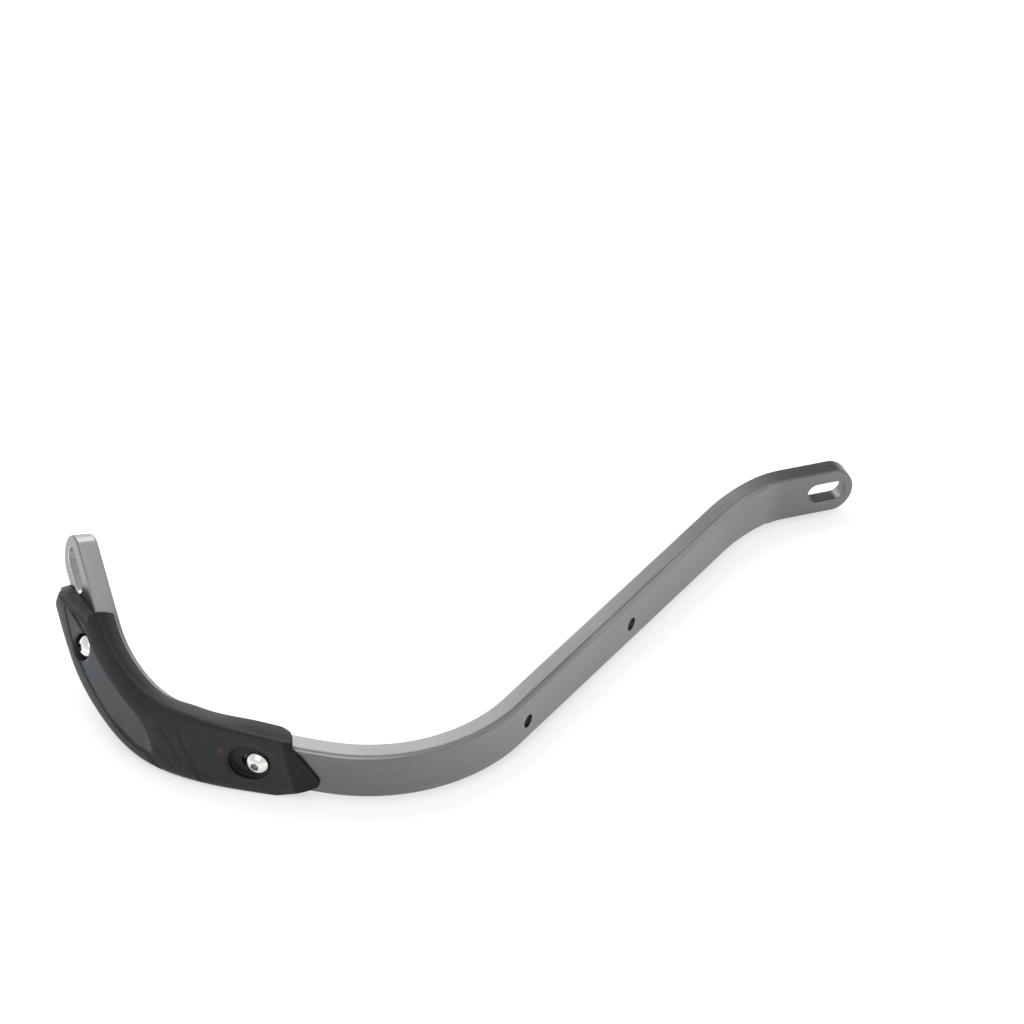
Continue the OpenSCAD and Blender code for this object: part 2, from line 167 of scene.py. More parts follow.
class HandGuardBarSettings(bpy.types.PropertyGroup):
    outer_round: bpy.props.FloatProperty(
        name="Outer rounding", description="Rounding of the two outer long edges",
        default=0.0024, unit="LENGTH")
    tab_round: bpy.props.FloatProperty(
        name="Tab rounding", description="Rounding of the long edges at both tabs",
        default=0.0009, unit="LENGTH")
    inner_round: bpy.props.FloatProperty(
        name="Inner rounding", description="Rounding of the two inner long edges",
        default=0.0007, unit="LENGTH")
    tab_mill: bpy.props.FloatProperty(
        name="Milled tab", description="Metal milled off the outer face of the inner tab",
        default=0.0005, unit="LENGTH")
    channel_depth: bpy.props.FloatProperty(
        name="Channel depth", description="Depth of the channel on the inner side",
        default=0.0012, unit="LENGTH")
    ring_step: bpy.props.FloatProperty(
        name="Ring spacing", description="Distance between the sweep's rings in a bend",
        default=0.001, unit="LENGTH")
    mouth_round: bpy.props.FloatProperty(
        name="Hole rounding", description="Rounding of the rims of slots and holes",
        default=0.0004, unit="LENGTH")
    metal: bpy.props.FloatVectorProperty(
        name="Metal", description="Colour of the aluminium",
        default=(0.25, 0.251, 0.246), size=3, subtype="COLOR")
    bare_metal: bpy.props.FloatVectorProperty(
        name="Bare metal", description="Colour of the cut slot walls",
        default=(0.62, 0.62, 0.64), size=3, subtype="COLOR")


class HandGuardProtectorSettings(bpy.types.PropertyGroup):
    recess_depth: bpy.props.FloatProperty(
        name="Recess depth", description="Depth of the long recess at its upper border",
        default=0.0012, unit="LENGTH")
    recess_low_depth: bpy.props.FloatProperty(
        name="Recess low depth", description="Depth of the recess at its lower border",
        default=0.0003, unit="LENGTH")
    panel_depth: bpy.props.FloatProperty(
        name="Panel depth", description="Depth of the panel round the front screw",
        default=0.0006, unit="LENGTH")
    groove_depth: bpy.props.FloatProperty(
        name="Groove depth", description="Depth of the slanted grooves on the corner",
        default=0.0011, unit="LENGTH")
    plastic: bpy.props.FloatVectorProperty(
        name="Plastic", description="Colour of the moulded plastic",
        default=(0.023, 0.0245, 0.023), size=3, subtype="COLOR")
    gloss: bpy.props.FloatVectorProperty(
        name="Gloss", description="Colour of the glossy recess floor",
        default=(0.026, 0.025, 0.024), size=3, subtype="COLOR")


class HandGuardScrewSettings(bpy.types.PropertyGroup):
    head: bpy.props.FloatProperty(
        name="Head", description="Diameter of the button head", default=0.0095, unit="LENGTH")
    head_height: bpy.props.FloatProperty(
        name="Head height", description="Height of the button head", default=0.0031, unit="LENGTH")
    head_rim: bpy.props.FloatProperty(
        name="Head rim", description="Height of the straight rim round the head",
        default=0.0006, unit="LENGTH")
    thread: bpy.props.FloatProperty(
        name="Thread", description="Diameter of the thread", default=0.005, unit="LENGTH")
    pitch: bpy.props.FloatProperty(
        name="Pitch", description="Distance between the thread's turns", default=0.0008, unit="LENGTH")
    socket: bpy.props.FloatProperty(
        name="Socket", description="Width across the hexagon socket's flats", default=0.003, unit="LENGTH")
    socket_depth: bpy.props.FloatProperty(
        name="Socket depth", description="Depth of the hexagon socket", default=0.0017, unit="LENGTH")
    shank: bpy.props.FloatProperty(
        name="Shank", description="Length under the head", default=0.0093, unit="LENGTH")
    steel: bpy.props.FloatVectorProperty(
        name="Steel", description="Colour of the stainless steel",
        default=(0.78, 0.77, 0.74), size=3, subtype="COLOR")


class HandGuardStageSettings(bpy.types.PropertyGroup):
    camera_place: bpy.props.FloatVectorProperty(
        name="Camera", description="Where the camera stands",
        default=(-0.664526, -1.392288, 1.101594), size=3, subtype="TRANSLATION")
    camera_aim: bpy.props.FloatVectorProperty(
        name="Aim", description="Direction in which the camera looks",
        default=(0.286405, 0.756057, -0.588515), size=3, subtype="DIRECTION")
    camera_up: bpy.props.FloatVectorProperty(
        name="Up", description="The camera's upward direction",
        default=(0.180417, 0.560700, 0.808124), size=3, subtype="DIRECTION")
    lens: bpy.props.FloatProperty(
        name="Lens", description="Focal length on a 36 mm wide sensor, in mm", default=160.686)
    key_power: bpy.props.FloatProperty(
        name="Key lamp", description="Power of the lamp at the front left", default=8.0, subtype="POWER")
    top_power: bpy.props.FloatProperty(
        name="Top lamp", description="Power of the broad lamp behind", default=1.7, subtype="POWER")
    strip_power: bpy.props.FloatProperty(
        name="Strip lamp", description="Power of the narrow lamp behind the corner",
        default=0.6, subtype="POWER")
    sky: bpy.props.FloatProperty(
        name="Sky", description="Strength of the even light from all sides", default=0.6)
    ceiling: bpy.props.FloatProperty(
        name="Ceiling", description="How bright metal and gloss see the room above", default=0.85)
    opening: bpy.props.FloatProperty(
        name="Opening", description="How bright metal and gloss see the dark opening behind", default=0.18)
    floor: bpy.props.FloatVectorProperty(
        name="Floor", description="Colour of the floor",
        default=(0.82, 0.82, 0.82), size=3, subtype="COLOR")


# nodes


def feed(tree, node, inputs):
    """Links outputs to a node's inputs, or sets their values; the inputs go by name or number."""
    for name, value in inputs.items():
        if isinstance(value, bpy.types.NodeSocket):
            tree.links.new(value, node.inputs[name])
        else:
            node.inputs[name].default_value = value


def add_node(tree, kind, inputs=None, **settings):
    """A new node with its settings and inputs."""
    node = tree.nodes.new(kind)
    for name, value in settings.items():
        setattr(node, name, value)
    feed(tree, node, inputs or {})
    return node


def emptied(owner):
    """The node tree of a material or a world, without its nodes."""
    owner.use_nodes = True
    owner.node_tree.nodes.clear()
    return owner.node_tree


def new_material(name):
    """A material with its node tree and its Principled shader."""
    material = bpy.data.materials.new(name)
    tree = emptied(material)
    shader = add_node(tree, "ShaderNodeBsdfPrincipled")
    add_node(tree, "ShaderNodeOutputMaterial", {"Surface": shader.outputs["BSDF"]})
    return material, tree, shader


def noise(tree, vector, scale, detail=2.0, roughness=0.5):
    """A noise texture whose grain is 1/scale metres, stretched where scale is a triple."""
    if not isinstance(scale, (int, float)):
        vector = add_node(tree, "ShaderNodeMapping", {"Scale": scale, "Vector": vector}).outputs["Vector"]
        scale = 1.0
    return add_node(tree, "ShaderNodeTexNoise", {
        "Scale": scale, "Detail": detail, "Roughness": roughness, "Vector": vector}).outputs["Fac"]


def ranged(tree, value, low, high, start=0.25, end=0.75):
    """A value between start and end carried over to low and high."""
    return add_node(tree, "ShaderNodeMapRange", {
        "From Min": start, "From Max": end, "To Min": low, "To Max": high, "Value": value}).outputs["Result"]


def maths(tree, operation, a, b):
    return add_node(tree, "ShaderNodeMath", {0: a, 1: b}, operation=operation).outputs["Value"]


def scaled(tree, vector, amount):
    return add_node(tree, "ShaderNodeVectorMath", {0: vector, "Scale": amount}, operation="SCALE").outputs[0]


def summed(tree, a, b):
    return add_node(tree, "ShaderNodeVectorMath", {0: a, 1: b}, operation="ADD").outputs[0]


def mixed(tree, factor, a, b):
    """Colour a where the factor is 0 and b where it is 1."""
    return add_node(tree, "ShaderNodeMix", {0: factor, 6: (*a, 1), 7: (*b, 1)}, data_type="RGBA").outputs[2]


def bumped(tree, shader, height, distance):
    bump = add_node(tree, "ShaderNodeBump", {"Strength": 1.0, "Distance": distance, "Height": height})
    feed(tree, shader, {"Normal": bump.outputs["Normal"]})


def attribute(tree, name, output):
    return add_node(tree, "ShaderNodeAttribute", attribute_name=name).outputs[output]


def object_place(tree):
    return add_node(tree, "ShaderNodeTexCoord").outputs["Object"]


def shade(colour, factor):
    return tuple(c * factor for c in colour)


def drawn_aluminium(colour):
    """Aluminium with fine lines along the bar, a soft sheen across them and a painted reflection that darkens
    or brightens it at each place.
    """
    material, tree, shader = new_material("drawn_aluminium")
    grain = attribute(tree, "grain", "Vector")
    fine = noise(tree, grain, (45, 4200, 4200), 3, 0.6)
    broad = noise(tree, grain, (18, 700, 700), 2)
    cloud = noise(tree, grain, 30, 3)
    lines = maths(tree, "ADD", maths(tree, "MULTIPLY", fine, 0.75), maths(tree, "MULTIPLY", broad, 0.25))
    base = mixed(tree, ranged(tree, lines, 0, 1, 0.36, 0.64), shade(colour, 0.9), shade(colour, 1.08))
    feed(tree, shader, {
        "Base Color": scaled(tree, base, attribute(tree, "tone", "Fac")),
        "Roughness": maths(tree, "ADD", ranged(tree, lines, 0.30, 0.40), ranged(tree, cloud, -0.03, 0.03)),
        "Metallic": 1, "Anisotropic": 0.6, "Tangent": attribute(tree, "run", "Vector")})
    bumped(tree, shader, lines, 0.00002)
    return material


def machined_aluminium(colour):
    """Bare cut aluminium, brighter than the drawn faces."""
    material, tree, shader = new_material("machined_aluminium")
    marks = noise(tree, object_place(tree), 900, 3, 0.6)
    feed(tree, shader, {
        "Base Color": mixed(tree, ranged(tree, marks, 0, 1), shade(colour, 0.9), shade(colour, 1.08)),
        "Roughness": ranged(tree, marks, 0.25, 0.38), "Metallic": 1})
    return material


def moulded_plastic(name, colour, roughness, texture, level):
    """Charcoal moulded plastic: fine sparkle grain, soft cloudy sheen and rubbed raised edges."""
    material, tree, shader = new_material(name)
    place = object_place(tree)
    grain = noise(tree, place, 2600, 2, 0.6)
    cloud = noise(tree, place, 60, 4, 0.6)
    rubbed = maths(tree, "ADD", ranged(tree, cloud, 0, 0.5), attribute(tree, "worn", "Fac"))
    base = mixed(tree, rubbed, shade(colour, 0.72), shade(colour, 1.6))
    feed(tree, shader, {
        # what a place adds to the plastic's own colour: a small real mark, painted reflection on the gloss
        # and painted shade
        "Base Color": summed(tree, base, attribute(tree, "stain", "Vector")),
        "Roughness": maths(tree, "ADD", ranged(tree, cloud, roughness - 0.04, roughness + 0.05),
                           ranged(tree, grain, -0.02, 0.02)),
        "IOR": 1.5, "Specular IOR Level": level})
    bumped(tree, shader, grain, texture)
    return material


def polished_steel(colour):
    """Stainless steel with faint turning marks and painted shade in the socket."""
    material, tree, shader = new_material("polished_stainless")
    marks = noise(tree, object_place(tree), 1800, 3, 0.6)
    # the turning marks darken the steel a little, and the socket gets painted shade
    marks_and_socket_shade = maths(tree, "ADD", ranged(tree, marks, 0, 0.15), attribute(tree, "deep", "Fac"))
    feed(tree, shader, {
        "Base Color": mixed(tree, marks_and_socket_shade, shade(colour, 1.0), shade(colour, 0.5)),
        "Roughness": ranged(tree, marks, 0.06, 0.12), "Metallic": 1})
    bumped(tree, shader, marks, 0.000004)
    return material


def open_tree(name, inputs):
    """A geometry node tree, its inputs' identifiers, and its input and output nodes."""
    tree = bpy.data.node_groups.new(name, "GeometryNodeTree")
    face = tree.interface
    face.new_socket("Geometry", in_out="OUTPUT", socket_type="NodeSocketGeometry")
    sockets = {label: face.new_socket(label, in_out="INPUT", socket_type="NodeSocket" + kind).identifier
               for label, kind in inputs}
    return tree, sockets, add_node(tree, "NodeGroupInput"), add_node(tree, "NodeGroupOutput")


def close_tree(tree, given, result, geometry):
    """Hands a tree's geometry out as real meshes in the given material."""
    real = add_node(tree, "GeometryNodeRealizeInstances", {"Geometry": geometry})
    paint = add_node(tree, "GeometryNodeSetMaterial", {
        "Geometry": real.outputs["Geometry"], "Material": given.outputs["Material"]})
    feed(tree, result, {"Geometry": paint.outputs["Geometry"]})


def named(tree, name, kind="FLOAT"):
    """A named attribute of the geometry."""
    node = add_node(tree, "GeometryNodeInputNamedAttribute", {"Name": name}, data_type=kind)
    return next(o for o in node.outputs if o.enabled and o.name == "Attribute")


# meshes


def in_scene(name, data):
    """A new object with the given data, linked to the scene."""
    thing = bpy.data.objects.new(name, data)
    bpy.context.scene.collection.objects.link(thing)
    return thing


def add_object(name, vertices, faces=(), edges=()):
    """A mesh object whose vertices are given in mm."""
    mesh = bpy.data.meshes.new(name)
    mesh.from_pydata([tuple(v) for v in np.asarray(vertices, float) * MM], edges, [tuple(f) for f in faces])
    mesh.update()
    return in_scene(name, mesh)


def remove(*things):
    for thing in things:
        data = thing.data
        bpy.data.objects.remove(thing)
        if data and not data.users:
            bpy.data.meshes.remove(data)


def finished(thing, name):
    """A plain mesh object with the modifiers of another one carried out, which is then removed."""
    bpy.context.view_layer.update()
    graph = bpy.context.evaluated_depsgraph_get()
    mesh = bpy.data.meshes.new_from_object(
        thing.evaluated_get(graph), preserve_all_data_layers=True, depsgraph=graph)
    remove(thing)
    mesh.name = name
    return in_scene(name, mesh)


def face_outward(thing):
    """Turns a closed mesh's faces outward."""
    work = bmesh.new()
    work.from_mesh(thing.data)
    bmesh.ops.recalc_face_normals(work, faces=work.faces)
    if work.calc_volume(signed=True) < 0:
        bmesh.ops.reverse_faces(work, faces=work.faces)
    work.to_mesh(thing.data)
    work.free()


def cut(thing, cutters, name):
    """The thing less its cutters, as one plain mesh."""
    for cutter in cutters:
        face_outward(cutter)
        step = thing.modifiers.new("cut", "BOOLEAN")
        step.operation = "DIFFERENCE"
        step.solver = "EXACT"
        step.object = cutter
    result = finished(thing, name)
    remove(*cutters)
    return result


def soften(thing, angle=38):
    """Smooth shading with sharp edges kept, and broad faces left flat."""
    for face in thing.data.polygons:
        face.use_smooth = True
    thing.data.set_sharp_from_angle(angle=math.radians(angle))
    weigh = thing.modifiers.new("weigh", "WEIGHTED_NORMAL")
    weigh.keep_sharp = True
    weigh.weight = 60
    return finished(thing, thing.name)


def store(mesh, name, kind, values):
    layer = mesh.attributes.new(name, kind, "POINT")
    key = "vector" if kind == "FLOAT_VECTOR" else "value"
    layer.data.foreach_set(key, np.ascontiguousarray(values, np.float32).ravel())


def points_of(mesh):
    co = np.zeros(len(mesh.vertices) * 3, np.float32)
    mesh.vertices.foreach_get("co", co)
    return co.reshape(-1, 3).astype(float)


def path_places(points):
    """For points in mm: path length, distance outward, distance upward and the path's tangent."""
    stations = np.linspace(-2, PATH.length + 2, 480)
    middle = PATH.at(stations)[0]
    s = np.zeros(len(points))
    # the nearest station first, for a few thousand points at a time, and then three steps along the path
    batch = 4000
    for start in range(0, len(points), batch):
        block = points[start:start + batch]
        far = ((block[:, None] - middle[None]) ** 2).sum(2)
        s[start:start + batch] = stations[far.argmin(1)]
    for _ in range(3):
        p, t = PATH.at(s)[:2]
        s = s + ((points - p) * t).sum(1)
    p, t, n, u = PATH.at(s)
    return s, ((points - p) * n).sum(1), ((points - p) * u).sum(1), t


def add_grain(thing):
    """Stores the place along the bar, the direction of the drawn lines and a painted reflection for the
    material.
    """
    s, outward, upward, tangent = path_places(points_of(thing.data) / MM)
    store(thing.data, "grain", "FLOAT_VECTOR", np.c_[s, outward, upward] * MM)
    store(thing.data, "run", "FLOAT_VECTOR", tangent)
    # painted reflection: the tab is a little darker, and so is the outer face toward the protector
    facing = smooth(outward, 3.4, 4.2)
    near = smooth(s, CORNER - 170, CORNER - 55) * (1 - smooth(s, CORNER, CORNER + 60))
    tone = 1 - (0.33 - 0.15 * facing) * (1 - smooth(s, 28, 45)) - 0.38 * facing * near
    # painted reflection on all but the outer face: brighter after the tab's bends, darker round the corner
    side = 0.3 * (1 - facing)
    tone += side * smooth(s, 40, 60) * (1 - smooth(s, 150, 200))
    tone -= side * smooth(s, CORNER - 5, CORNER + 10) * (1 - smooth(s, CORNER + 55, CORNER + 65))
    store(thing.data, "tone", "FLOAT", tone)


class Placed:
    """A cutter's frame on the path: x along the bar, y upward, z outward, in mm."""

    def __init__(self, s, up=0.0, shift=0.0):
        p, t, n, u = (v[0] for v in PATH.at(s))
        self.middle, self.axes = p + u * up + t * shift, np.array([t, u, n])

    def __call__(self, points):
        return self.middle + np.asarray(points, float) @ self.axes


def oval(length, width, grow=0.0):
    """Outline of an oval slot, long side along x; a circle where length is width."""
    half, radius = (length - width) / 2, width / 2 + grow
    turns = np.linspace(-math.pi / 2, math.pi / 2, 20)
    right = [(half + radius * math.cos(a), radius * math.sin(a)) for a in turns]
    left = [(-half - radius * math.cos(a), -radius * math.sin(a)) for a in turns]
    return right + left if half > 0 else right[:-1] + left[:-1]


def ringed_cutter(place, rings):
    """A cutter through rings of points, closed at its first and last ring."""
    n = len(rings[0])
    faces = [(i * n + j, i * n + (j + 1) % n, (i + 1) * n + (j + 1) % n, (i + 1) * n + j)
             for i in range(len(rings) - 1) for j in range(n)]
    faces += [tuple(range(n))[::-1], tuple(range((len(rings) - 1) * n, len(rings) * n))]
    return add_object("cutter", place([p for ring in rings for p in ring]), faces)


def slot_cutter(place, length, width, profile):
    """A prism over an oval, its profile given as (height along z, growth of the oval)."""
    return ringed_cutter(place, [[(x, y, z) for x, y in oval(length, width, grow)] for z, grow in profile])


def rim(face, sign, radius):
    """Profile of a rounded hole rim at a face: sign is +1 at the outer side and -1 at the inner side."""
    turns = np.radians([0, 25, 50, 70, 90])
    return [(face + sign * (0.01 - radius + radius * math.sin(a)), radius - radius * math.cos(a))
            for a in turns]


def through(low, high, radius):
    """Profile of a cutter right through the bar, with rounded rims at both faces."""
    down = rim(low, -1, radius)[::-1]
    up = rim(high, 1, radius)
    return [(low - 2, radius)] + down + up + [(high + 2, radius)]


def sunk(low, floor, radius):
    """Profile of a recess from the inner side up to its floor, with a rounded rim."""
    rounded = [(floor - 0.25, 0), (floor - 0.07, -0.07), (floor, -0.25)]
    return [(low - 2, radius)] + rim(low, -1, radius)[::-1] + rounded


def tip_cutter(place, radius, outer, inner, rounding):
    """A half ring that gives a tab its round tip and rounded rim; x runs into the tab."""
    turns = np.radians([0, 22.5, 45, 67.5, 90])
    across = [radius - rounding + rounding * math.cos(a) for a in turns]
    low = [(-inner - 0.01 + rounding - rounding * math.sin(a), r) for a, r in zip(turns, across)]
    high = [(outer + 0.01 - rounding + rounding * math.sin(a), r) for a, r in zip(turns, across)]
    wall = [(-inner - 3, radius - rounding)] + low[::-1] + high + [(outer + 3, radius - rounding)]
    section = wall + [(outer + 3, radius + 8), (-inner - 3, radius + 8)]
    angles = np.linspace(math.pi / 2, 3 * math.pi / 2, 49)
    return ringed_cutter(
        place, [[(radius + r * math.cos(a), r * math.sin(a), z) for z, r in section] for a in angles])


# the bar's sweep


def bar_section(settings):
    """The bar's section as rows: plain place, place at the tabs, share of milling, share of channel."""
    rows = []
    turns = np.radians(np.linspace(0, 90, 8))
    radii = settings.outer_round / MM, settings.tab_round / MM

    def rounded(side, a):
        plain, tab = ((HALF_THICKNESS - r + r * math.sin(a), side * (HALF_HEIGHT - r + r * math.cos(a)))
                      for r in radii)
        rows.append((*plain, *tab, 1, 0))

    def steady(u, v, milled, channel):
        rows.append((u, v, u, v, milled, channel))

    for a in turns:
        rounded(1, a)
    for height in (4, 0, -4):
        steady(HALF_THICKNESS, height, 1, 0)
    for a in turns[::-1]:
        rounded(-1, a)
    r = settings.inner_round / MM
    arc = [(-HALF_THICKNESS + r - r * math.sin(a), HALF_HEIGHT - r + r * math.cos(a))
           for a in np.radians([0, 22.5, 45, 67.5, 90])]
    for u, v in arc:
        steady(u, -v, 0, 0)
    # the channel's slope, softened over a short window, on both sides of its floor
    slope = [7.5 - 0.2 * k for k in range(13)]
    for sign, heights in ((-1, slope), (1, slope[::-1])):
        for h in heights:
            share = float(np.mean(np.clip((7.0 - (h + np.linspace(-0.3, 0.3, 13))) / 1.3, 0, 1)))
            steady(-HALF_THICKNESS, sign * h, 0, share)
        if sign < 0:
            for h in (-3, 0, 3):
                steady(-HALF_THICKNESS, h, 0, 1)
    for u, v in arc[::-1]:
        steady(u, v, 0, 0)
    return np.array(rows)


def bar_rail(step):
    """Path lengths of the sweep's rings, and the shares of milling, channel and tab rounding there."""
    stops = [-1.0]
    for (straight, *_), a, b in zip(RUNS, PATH.starts[:-1], PATH.starts[1:]):
        for low, high, size in ((a, a + straight, 2.5), (a + straight, b, step)):
            if high - low > 1e-6:
                stops += list(np.linspace(low, high, max(2, int(math.ceil((high - low) / size)) + 1))[1:])
    stops.append(PATH.length + 1)
    # the section changes over a short way after each of these edges
    way = 0.4
    edges = [PATH.starts[1], PATH.starts[2], PATH.starts[10]]
    s = np.array([v for v in stops if all(abs(v - e) > 0.001 and not 0 < v - e < 0.5 for e in edges)])
    s = np.sort(np.concatenate([s] + [e + np.linspace(0, way, 6) for e in edges]))
    milled = 1 - smooth(s, edges[1], edges[1] + way)
    channel = smooth(s, edges[0], edges[0] + way) * (1 - smooth(s, edges[2], edges[2] + way))
    # the end tab's sharper edges begin under the protector
    tab = np.maximum(milled, smooth(s, edges[2] - 16, edges[2] - 7))
    return s, milled, channel, tab


def sweep_tree():
    """Geometry nodes that sweep a section along a path; both carry what the sweep needs as attributes."""
    tree, sockets, given, result = open_tree("Bar sweep", (
        ("Path", "Geometry"), ("Section", "Object"), ("Milled depth", "Float"), ("Channel depth", "Float"),
        ("Material", "Material")))

    def product(*values):
        total = values[0]
        for value in values[1:]:
            total = maths(tree, "MULTIPLY", total, value)
        return total

    rail = add_node(tree, "GeometryNodeMeshToCurve", {"Mesh": given.outputs["Path"]})
    section = add_node(tree, "GeometryNodeObjectInfo", {"Object": given.outputs["Section"]})
    loop = add_node(tree, "GeometryNodeMeshToCurve", {"Mesh": section.outputs["Geometry"]})
    sweep = add_node(tree, "GeometryNodeCurveToMesh", {
        "Curve": rail.outputs["Curve"], "Profile Curve": loop.outputs["Curve"], "Fill Caps": True})
    blend = add_node(tree, "ShaderNodeMix", data_type="VECTOR")
    feed(tree, blend, {0: named(tree, "tab_share"), 4: named(tree, "plain", "FLOAT_VECTOR"),
                       5: named(tree, "tab", "FLOAT_VECTOR")})
    split = add_node(tree, "ShaderNodeSeparateXYZ", {0: blend.outputs[1]})
    out = maths(tree, "SUBTRACT", split.outputs["X"],
                product(named(tree, "outer_side"), named(tree, "milled"), given.outputs["Milled depth"]))
    out = maths(tree, "ADD", out,
                product(named(tree, "channel_side"), named(tree, "channel"), given.outputs["Channel depth"]))
    beside = summed(tree, scaled(tree, named(tree, "outward", "FLOAT_VECTOR"), out),
                    scaled(tree, named(tree, "upward", "FLOAT_VECTOR"), split.outputs["Y"]))
    move = add_node(tree, "GeometryNodeSetPosition", {
        "Geometry": sweep.outputs["Mesh"],
        "Position": summed(tree, named(tree, "middle", "FLOAT_VECTOR"), beside)})
    close_tree(tree, given, result, move.outputs["Geometry"])
    return tree, sockets


class OBJECT_OT_hand_guard_bar(bpy.types.Operator):
    """Build the bent aluminium bar with its slots, holes and drawn finish"""

    bl_idname = "hand_guard.bar"
    bl_label = "Guard bar"

    def execute(self, context):
        settings = context.scene.hand_guard_bar
        s, milled, channel, tab = bar_rail(settings.ring_step / MM)
        middle, _, outward, upward = PATH.at(s)
        rail = add_object("bar_path", middle, edges=[(i, i + 1) for i in range(len(s) - 1)])
        shares = (("milled", milled), ("channel", channel), ("tab_share", tab))
        vectors = (("middle", middle * MM), ("outward", outward), ("upward", upward))
        rows = bar_section(settings)
        n = len(rows)
        flat, tab_flat = (np.c_[rows[:, i], rows[:, i + 1], np.zeros(n)] for i in (0, 2))
        section = add_object("bar_section", flat, edges=[(i, (i + 1) % n) for i in range(n)])
        section_shares = (("outer_side", rows[:, 4]), ("channel_side", rows[:, 5]))
        section_vectors = (("plain", flat * MM), ("tab", tab_flat * MM))
        carried = []
        for thing, kind, table_rows in ((rail, "FLOAT", shares), (rail, "FLOAT_VECTOR", vectors),
                                        (section, "FLOAT_VECTOR", section_vectors),
                                        (section, "FLOAT", section_shares)):
            for name, values in table_rows:
                store(thing.data, name, kind, values)
                carried.append(name)

        tree, sockets = sweep_tree()
        sweep = rail.modifiers.new("sweep", "NODES")
        sweep.node_group = tree
        sweep[sockets["Section"]] = section
        sweep[sockets["Milled depth"]] = settings.tab_mill
        sweep[sockets["Channel depth"]] = settings.channel_depth
        sweep[sockets["Material"]] = drawn_aluminium(settings.metal)
        bar = finished(rail, "guard_bar_dressed")
        remove(section)
        if len(bar.data.polygons) < 1000:
            raise RuntimeError("the bar's sweep made no surface")
        face_outward(bar)
        for name in carried:
            if name in bar.data.attributes:
                bar.data.attributes.remove(bar.data.attributes[name])
        bar = cut(bar, self.cutters(settings), "guard_bar_dressed")
        bar = soften(bar)
        self.mark_cut_faces(bar, settings)
        add_grain(bar)
        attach(bar, "root")
        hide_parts("guard_bar")
        return {"FINISHED"}

    @staticmethod
    def mark_cut_faces(bar, settings):
        """Gives the walls of the bar-end slot the look of bare cut metal."""
        bar.data.materials.append(machined_aluminium(settings.bare_metal))
        place = Placed(END_SLOT)
        count = len(bar.data.polygons)
        middle, normal = np.zeros(count * 3, np.float32), np.zeros(count * 3, np.float32)
        bar.data.polygons.foreach_get("center", middle)
        bar.data.polygons.foreach_get("normal", normal)
        x, y, z = ((middle.reshape(-1, 3) / MM - place.middle) @ place.axes.T).T
        turned_out = np.abs(normal.reshape(-1, 3) @ place.axes[2])
        off = np.hypot(np.maximum(np.abs(x) - (END_SLOT_LENGTH - SLOT_WIDTH) / 2, 0), y)
        bare = (off < 5.0) & (np.abs(z) < HALF_THICKNESS) & (turned_out < 0.97)
        bar.data.polygons.foreach_set("material_index", bare.astype(np.int32))

    @staticmethod
    def cutters(settings):
        r = settings.mouth_round / MM
        tab_round, tab_mill = settings.tab_round / MM, settings.tab_mill / MM
        low, high = -HALF_THICKNESS, HALF_THICKNESS
        channel = low + settings.channel_depth / MM
        made = [
            tip_cutter(Placed(0), TIP_RADIUS, high - tab_mill, -low, tab_round),
            slot_cutter(Placed(TAB_TIP), MOUNT_SLOT_LENGTH, SLOT_WIDTH, through(low, high - tab_mill, r)),
            slot_cutter(Placed(TAB_TIP), MOUNT_RECESS_LENGTH, MOUNT_RECESS_WIDTH,
                        sunk(low, low + INNER_SINK, r)),
            slot_cutter(Placed(END_SLOT), END_SLOT_LENGTH, SLOT_WIDTH, through(low, high, r)),
            slot_cutter(Placed(PATH.length), 2 * END_GROOVE_LENGTH, END_GROOVE_WIDTH,
                        sunk(low, low + INNER_SINK, r)),
        ]
        end = Placed(PATH.length)
        end.axes[0] *= -1
        made.append(tip_cutter(end, TIP_RADIUS, high, -low, tab_round))
        for s in SHIELD_HOLES:
            made.append(slot_cutter(Placed(s, -SHIELD_HOLE_DROP), SHIELD_BORE, SHIELD_BORE,
                                    through(channel, high, r)))
        for s, up in ((FRONT_SCREW, FRONT_SCREW_UP), (REAR_SCREW, 0)):
            made.append(slot_cutter(Placed(s, up), TAPPED_BORE, TAPPED_BORE, through(channel, high, r / 2)))
        return made


# the corner protector

FRONT_END, REAR_END = CORNER - 59, CORNER + 86
TOP, LOW = HALF_HEIGHT + 3.0, -HALF_HEIGHT - 3.1
# padding over the bar's outer face: place from the start of the corner bend, thickness
SWELLS = ((-59, 0.9), (1, 8.7), (35, 6.8), (70, 7.9), (77, 7.9), (86, 3.6))
# outer shape of the padding: share of the padding, height
WALL = ((0.10, 12.9), (0.34, 12.1), (0.52, 10.7), (0.66, 8.7), (0.76, 6), (0.84, 3), (0.91, 0), (0.97, -3.4),
        (1, -6.4), (0.99, -9.1), (0.93, -11.1), (0.8, -12.5), (0.58, -13.1))
# ends of the wall: height, place after the front end
FRONT_WALL = ((12.9, 10.8), (11, 10.6), (10.3, 10.2), (-0.9, 1.4), (-2, 0.6), (-3, 0.15), (-4.2, 0.1),
              (-5.2, 0.4), (-6.1, 1.2), (-8.1, 4.5), (-9.9, 8), (-11.6, 13), (-13.1, 17.6))
FRONT_TOP = ((5, 10.9), (0.6, 11.8), (-1.8, 13.4), (-3.6, 16.4), (-4.4, 20))
FRONT_BOTTOM = ((5.3, 18), (4, 19.5), (1.6, 22), (-0.1, 26))
REAR_WALL = ((9.5, -26.6), (-5.4, -4.6), (-10.4, -0.8), (-11.3, 0), (-13.1, 0))
